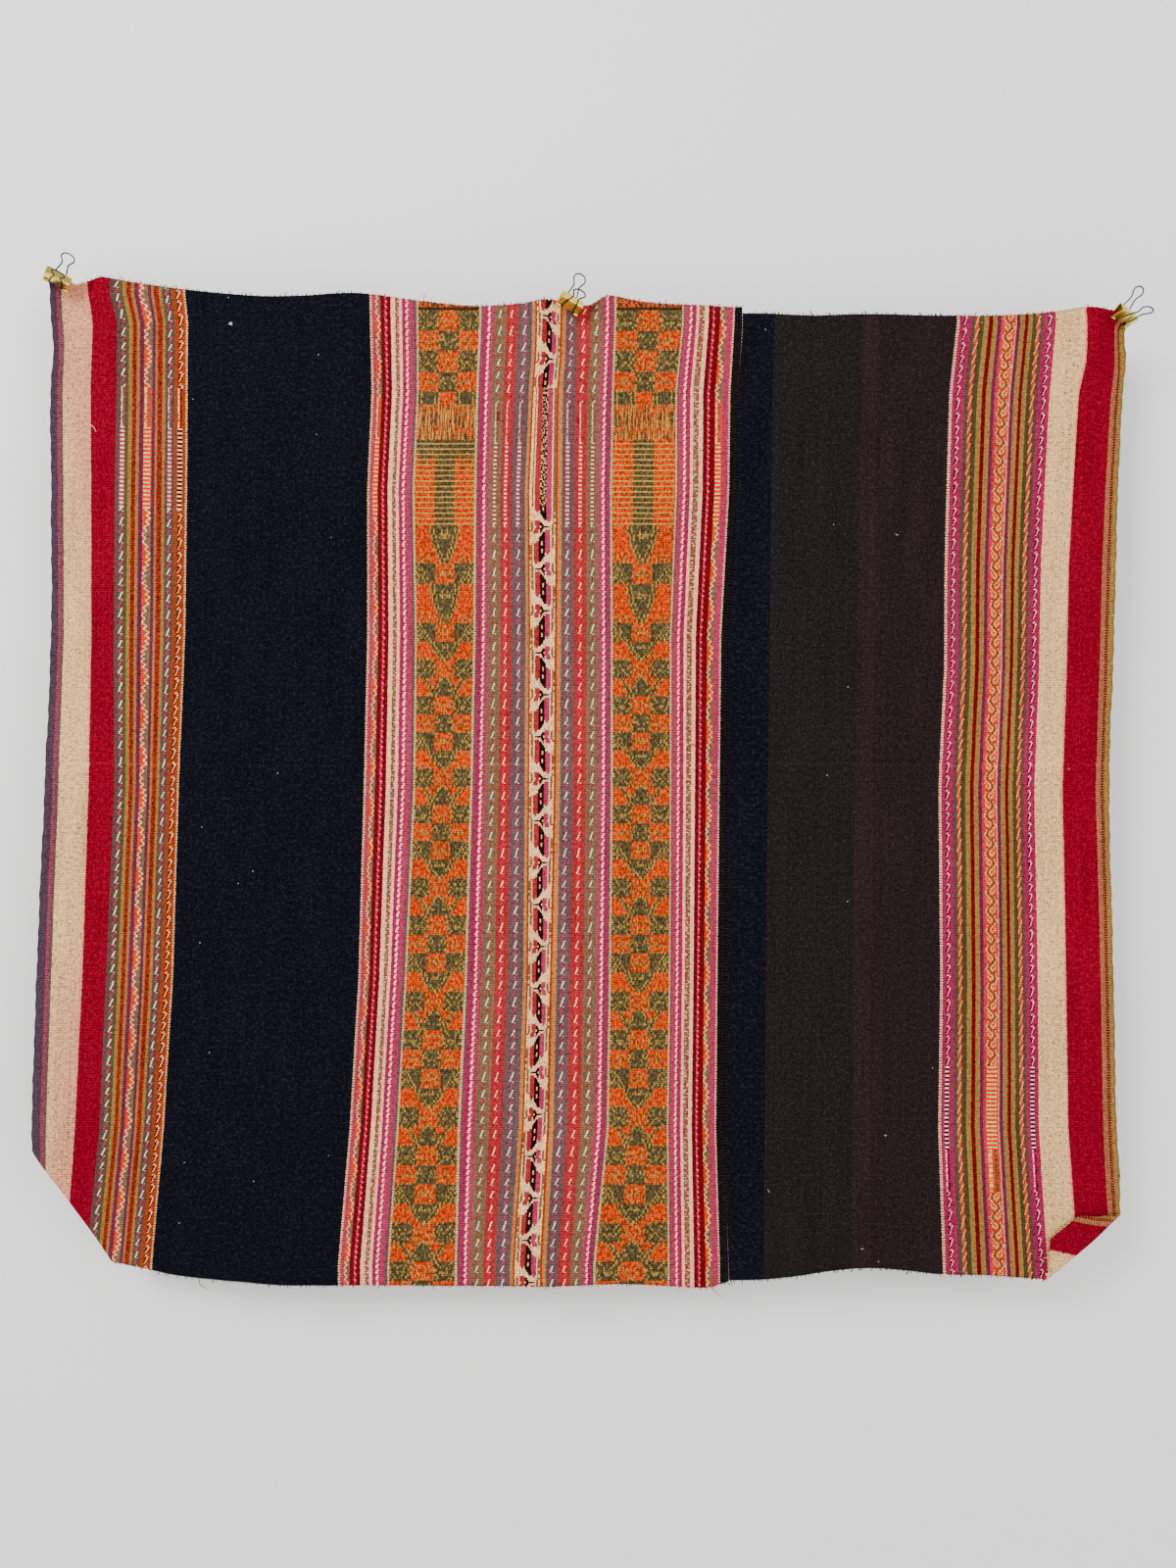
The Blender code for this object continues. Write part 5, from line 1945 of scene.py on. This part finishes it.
@dataclass
class FoldBackClip:
    """One sprung clip: its bent sheet body and its two wire handles."""

    place: ClipFrame
    bend_radius: float = 1.4
    bend_steps: int = 8
    lug_steps: int = 20
    lug_sweep: float = math.radians(280)
    lug_length: float = 4.5
    wire_radius: float = 0.7
    pin_reach: float = 11.6
    pin_bend: float = 1.2
    leg_half: float = 6.2
    handle: tuple = ((5.9, 6.0), (4.8, 14.5), (3.3, 22.0), (4.0, 25.6), (6.1, 29.4), (6.2, 32.6), (3.8, 35.5))
    handle_top: float = 36.4
    smooth_steps: int = 7

    def jaw(self, side: int) -> list:
        """One jaw's section, from the end of its rolled lug to its lip."""
        place = self.place
        centre = place.lug_centre(side)
        start = place.body + side * (place.jaw_lean - math.pi / 2)
        return [
            centre + place.lean(start - side * self.lug_sweep * k / self.lug_steps) * place.lug_radius
            for k in range(self.lug_steps, -1, -1)
        ]

    def rounded(self, before: Vector, corner: Vector, after: Vector) -> list:
        """Round a corner between two straight runs.

        Args:
            before: a point on the first run.
            corner: the corner itself.
            after: a point on the second run.

        Returns:
            The points of the arc.
        """
        arm_in, arm_out = (before - corner).normalized(), (after - corner).normalized()
        half = arm_in.angle(arm_out) / 2
        centre = corner + (arm_in + arm_out).normalized() * (self.bend_radius / math.sin(half))
        start = corner + arm_in * (self.bend_radius / math.tan(half)) - centre
        end = corner + arm_out * (self.bend_radius / math.tan(half)) - centre
        return [
            centre + start.slerp(end, k / self.bend_steps).normalized() * self.bend_radius
            for k in range(self.bend_steps + 1)
        ]

    def build_body(self, material: bpy.types.Material) -> bpy.types.Object:
        """Bend the body from sheet: two jaws with rolled lugs, and the spine between them.

        Args:
            material: the plated sheet's finish.

        Returns:
            The body's object.
        """
        place = self.place
        front, back = self.jaw(1), self.jaw(-1)
        front_corner = front[-1] + place.lean(place.body + place.jaw_lean) * place.jaw_length
        back_corner = back[-1] + place.lean(place.body - place.jaw_lean) * place.jaw_length
        section = front + self.rounded(front[-1], front_corner, back_corner)
        section += self.rounded(front_corner, back_corner, back[-1]) + back[::-1]
        half, last = place.width / 2, len(section) - 1
        stations = (-half, -half + self.lug_length, half - self.lug_length, half)
        mesh = bmesh.new()
        rows = [[mesh.verts.new(place.point(along, offset) * MM) for offset in section] for along in stations]
        for strip in range(len(stations) - 1):
            for k in range(last):
                if strip == 1 and (k < self.lug_steps or k >= last - self.lug_steps):
                    continue
                mesh.faces.new((rows[strip][k], rows[strip + 1][k], rows[strip + 1][k + 1], rows[strip][k + 1]))
        bmesh.ops.delete(mesh, geom=[vert for vert in mesh.verts if not vert.link_faces], context="VERTS")
        bmesh.ops.recalc_face_normals(mesh, faces=mesh.faces[:])
        item = show(place.clip.name + "_body", mesh, material, 35.0)
        wall = item.modifiers.new("sheet", "SOLIDIFY")
        wall.thickness = place.sheet * MM
        wall.offset = 0.0
        wall.use_even_offset = True
        edge = item.modifiers.new("rubbed_edges", "BEVEL")
        edge.width = 0.09 * MM
        edge.segments = 2
        edge.limit_method = "ANGLE"
        edge.angle_limit = math.radians(50)
        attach(item, "root")
        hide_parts(place.clip.name)
        return item

    def handle_path(self) -> list:
        """One handle's middle line, from the pin in one lug over the eye to the pin in the other."""
        out, rise = self.leg_half + self.pin_bend, self.pin_bend
        pin = [Vector((self.pin_reach, 0)), Vector((out + self.pin_bend / 2, 0))]
        for k in range(5):
            angle = math.pi / 2 * k / 4
            pin.append(Vector((out, rise)) - Vector((math.sin(angle), math.cos(angle))) * self.pin_bend)
        knots = [pin[-1]] + [Vector(row) for row in self.handle] + [Vector((0, self.handle_top))]
        knots.append(Vector((-self.handle[-1][0], self.handle[-1][1])))
        curve = []
        for k in range(1, len(knots) - 1):
            before, start, end, after = knots[max(k - 2, 0)], knots[k - 1], knots[k], knots[k + 1]
            for step in range(1, self.smooth_steps + 1):
                t = step / self.smooth_steps
                curve.append(0.5 * (
                    2 * start + (end - before) * t + (2 * before - 5 * start + 4 * end - after) * t * t
                    + (3 * start - before - 3 * end + after) * t ** 3
                ))
        half = pin + curve
        return half + [Vector((-place.x, place.y)) for place in reversed(half[:-1])]

    def build_wire(self, side: int, angle: float, sway: float, label: str,
                   material: bpy.types.Material) -> bpy.types.Object:
        """Bend one wire handle, with its pins in the lugs of one jaw.

        Args:
            side: 1 for the front jaw and -1 for the back.
            angle: how far the handle leans forward, in degrees.
            sway: how far it leans along the lips for its rise.
            label: what the wire is called after its clip's name.
            material: the wire's finish.

        Returns:
            The wire's object.
        """
        place = self.place
        lug = place.lug_centre(side)
        curve = bpy.data.curves.new(label, "CURVE")
        curve.dimensions = "3D"
        curve.bevel_depth = self.wire_radius * MM
        curve.bevel_resolution = 5
        curve.use_fill_caps = True
        path = self.handle_path()
        spline = curve.splines.new("POLY")
        spline.points.add(len(path) - 1)
        for point, knot in zip(spline.points, path):
            along = knot.x + sway * max(knot.y - self.pin_bend, 0.0)
            point.co = (*(place.point(along, lug + place.lean(math.radians(angle)) * knot.y) * MM), 1.0)
        spline.use_smooth = True
        curve.materials.append(material)
        name = f"{place.clip.name}_{label}"
        item = put(name + "_bent", curve)
        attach(item, "root")
        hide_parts(name)
        return item

    def build(self, plate: bpy.types.Material, wire: bpy.types.Material) -> None:
        """Build the body and both handles.

        Args:
            plate: the sheet's finish.
            wire: the handles' finish.
        """
        clip = self.place.clip
        self.build_body(plate)
        self.build_wire(-1, clip.back_wire, clip.sway, "back_wire", wire)
        self.build_wire(1, clip.front_wire, 0.0, "front_wire", wire)
        LOG.info("%s built with its two handles", clip.name)


@dataclass
class Studio:
    """The plain pale floor and wall, the soft light, and the camera at the photograph's angle."""

    floor_z: float = -1.40
    wall_y: float = 0.06
    camera: tuple = (0.0088, -1.18495, -0.52793)
    lens: float = 26.0

    def pale(self, name: str, one_sided: bool) -> bpy.types.Material:
        """Make the pale ground's material.

        Args:
            name: the material's name.
            one_sided: whether it is clear as seen from behind.

        Returns:
            The material.
        """
        material, graph, shader = new_material(name)
        shader.inputs["Base Color"].default_value = (0.87, 0.865, 0.855, 1.0)
        shader.inputs["Roughness"].default_value = 0.95
        if one_sided:
            back = graph.node("ShaderNodeNewGeometry").outputs["Backfacing"]
            clear = graph.node("ShaderNodeBsdfTransparent").outputs[0]
            mixed = graph.node("ShaderNodeMixShader")
            for socket, value in zip(mixed.inputs, (back, shader.outputs[0], clear)):
                graph.feed(socket, value)
            graph.feed(material.node_tree.nodes["Material Output"].inputs[0], mixed.outputs[0])
        return material

    def ground(self) -> None:
        """Lay the floor and stand the wall behind the cloth."""
        for name, one_sided in (("floor", False), ("wall", True)):
            mesh = bmesh.new()
            bmesh.ops.create_grid(mesh, x_segments=1, y_segments=1, size=4.0)
            for vert in mesh.verts:
                x, y = vert.co.x, vert.co.y
                vert.co = Vector((x, y, self.floor_z)) if name == "floor" else Vector((x, self.wall_y, y))
            if name == "wall":
                bmesh.ops.recalc_face_normals(mesh, faces=mesh.faces[:])
                mesh.normal_update()
                mesh.faces.ensure_lookup_table()
                if mesh.faces[0].normal.y > 0:
                    bmesh.ops.reverse_faces(mesh, faces=mesh.faces[:])
            show(name, mesh, self.pale("pale_" + name, one_sided))

    def lamp(self, name: str, place: tuple, aim: tuple, size: float, power: float) -> None:
        """Add one soft square lamp.

        Args:
            name: its name.
            place: where it stands.
            aim: what it points at.
            size: the length of its side.
            power: its power in watts.
        """
        data = bpy.data.lights.new(name, "AREA")
        data.size = size
        data.energy = power
        item = put(name, data)
        item.location = place
        item.rotation_mode = "QUATERNION"
        item.rotation_quaternion = (Vector(aim) - Vector(place)).to_track_quat("-Z", "Y")

    def build(self) -> None:
        """Set up the ground, the light and the camera."""
        self.ground()
        self.lamp("key", (-1.6, -2.2, 1.1), (0, 0, -0.5), 1.2, 110.0)
        self.lamp("fill", (1.9, -2.4, 0.0), (0, 0, -0.6), 1.8, 52.0)
        world = bpy.data.worlds.new("room")
        world.use_nodes = True
        world.node_tree.nodes["Background"].inputs[0].default_value = (0.95, 0.96, 1.0, 1.0)
        world.node_tree.nodes["Background"].inputs[1].default_value = 0.62
        bpy.context.scene.world = world
        data = bpy.data.cameras.new("camera")
        data.lens = self.lens
        item = put("camera", data)
        item.location = self.camera
        item.rotation_euler = (math.pi / 2, 0, 0)
        bpy.context.scene.camera = item
        LOG.info("studio set")


# The plate's patches take a darker gold that is painted shade as well as scuffs; the wire's take a paler scuffed black.
PLATE = MetalFinish("brass_plating", "e8cc5c", "94802e", 0.3, 0.5)
WIRE = MetalFinish("dark_wire", "0a080a", "2a2426", 0.45, 0.35, 0.5)
LOOSE_YARNS = (
    LooseYarns("pale_loose_yarns", LEFT_FORM, YarnFinish("pale_loose_yarn", "e8b8a0", "c88878"), (
        LooseYarn(0.55, ((92.0, 430.5, -0.3), (93.4, 434.0, 0.9), (96.6, 436.6, 1.5), (98.8, 441.0, 0.6))),
    )),
    LooseYarns("red_loose_yarns", LEFT_FORM, YarnFinish("red_loose_yarn", "a01418", "6c0808"), (
        LooseYarn(0.6, ((505.5, 421.0, -0.2), (508.0, 423.0, 1.2), (507.0, 427.0, 1.4), (510.5, 429.5, 0.2))),
        LooseYarn(0.55, ((510.0, 420.5, 0.0), (507.5, 424.5, 1.8), (509.5, 427.0, 0.9), (506.0, 430.0, 0.1))),
        LooseYarn(0.55, ((588.0, 427.5, -0.2), (590.5, 429.5, 1.4), (589.5, 432.0, 1.0), (592.0, 434.0, 0.1))),
        LooseYarn(0.5, ((605.5, 310.0, -0.2), (604.0, 305.0, 0.8), (602.0, 300.5, 1.2), (605.5, 297.0, 2.2))),
        LooseYarn(0.5, ((604.0, 310.5, -0.2), (606.0, 304.5, 1.4), (609.0, 301.0, 2.0), (608.0, 298.0, 2.6))),
        LooseYarn(0.5, ((705.0, 759.5, -0.2), (708.0, 760.5, 0.9), (710.5, 763.0, 0.9), (712.5, 764.5, 0.0))),
    )),
    LooseYarns("orange_loose_yarns", LEFT_FORM, YarnFinish("orange_loose_yarn", "b84808", "8c5018"), (
        LooseYarn(0.5, ((727.0, 1305.0, -0.2), (725.6, 1312.0, 1.2), (729.5, 1318.0, 1.8), (735.5, 1322.5, 2.4))),
        LooseYarn(0.5, ((434.5, 312.0, -0.2), (432.5, 306.0, 1.0), (434.0, 302.0, 1.5), (431.0, 299.5, 1.2))),
    )),
    LooseYarns("dark_loose_yarns", LEFT_FORM, YarnFinish("dark_loose_yarn", "0e0e16", "24222a"), (
        LooseYarn(0.6, ((229.0, 328.0, -0.2), (233.5, 329.2, -0.1), (237.0, 328.6, 0.0), (242.0, 330.6, -0.2))),
        LooseYarn(0.5, ((233.6, 324.0, -0.2), (233.0, 328.5, 0.2), (235.6, 331.0, -0.1), (236.8, 336.5, -0.2))),
        LooseYarn(0.45, ((230.0, 334.5, -0.2), (232.4, 332.4, 0.4), (235.0, 332.6, 0.6), (238.6, 333.4, 0.1))),
        LooseYarn(0.4, ((237.8, 325.0, -0.1), (238.6, 328.4, 0.3), (237.6, 331.6, 0.4), (239.0, 335.0, 0.0))),
        LooseYarn(0.45, ((206.0, 1302.0, -0.2), (205.0, 1307.0, 0.8), (208.5, 1310.0, 1.4), (212.5, 1312.0, 1.8))),
        LooseYarn(0.5, ((756.0, 319.0, 0.0), (754.0, 315.5, 1.0), (755.5, 313.0, 1.6), (759.0, 312.0, 2.0))),
        LooseYarn(0.5, ((742.0, 1303.0, 0.0), (741.0, 1307.5, 1.0), (744.0, 1310.0, 1.6), (747.0, 1311.0, 1.4))),
    )),
    LooseYarns("lint", RIGHT_FORM, YarnFinish("lint", "b0a498", "8c8078"), (
        LooseYarn(0.5, ((914.0, 545.0, 0.1), (915.2, 546.2, 0.7), (916.4, 545.8, 0.2))),
        LooseYarn(0.5, ((901.0, 1156.6, 0.1), (902.2, 1157.4, 0.7), (903.4, 1156.8, 0.2))),
        LooseYarn(0.4, ((783.0, 1213.0, 0.1), (784.0, 1214.6, 0.6), (784.6, 1216.0, 0.2))),
        LooseYarn(0.45, ((876.0, 1270.6, 0.1), (877.4, 1269.8, 0.7), (878.6, 1270.8, 0.2))),
    )),
)
LEFT_FINISH = ClothFinish(
    "left_panel_cloth",
    (LEFT_BORDER, NAVY_GROUND, CENTRE_LEFT, CENTRE_INNER_LEFT, CENTRE_INNER_RIGHT, CENTRE_RIGHT),
    Zones((411.0, 452.0), (452.0, 535.0)), ((427.0, 489.0), (628.4, 695.0)),
)
RIGHT_FINISH = ClothFinish(
    "right_panel_cloth", (DARK_GROUND, RIGHT_BORDER_INNER, RIGHT_BORDER_OUTER),
    Zones((1173.0, 1216.0), (1087.0, 1173.0)),
)


def main() -> None:
    """Build the clips, the two panels, the seam and the studio, in that order."""
    logging.basicConfig(level=logging.INFO, format="%(message)s")
    groups = ClothGroups()
    plate, wire = PLATE.material(groups), WIRE.material(groups)
    for place in CLIP_FRAMES.values():
        FoldBackClip(place).build(plate, wire)
    LoomPanel(LEFT_FORM, LEFT_FINISH, holes=((183.4, 31.0, 2.5),)).build(groups)
    LoomPanel(RIGHT_FORM, RIGHT_FINISH, tuft_count=134).build(groups)
    SeamStitches(LEFT_FORM, RIGHT_FORM).build()
    for yarns in LOOSE_YARNS:
        yarns.build()
    Studio().build()


if __name__ == "__main__":
    main()
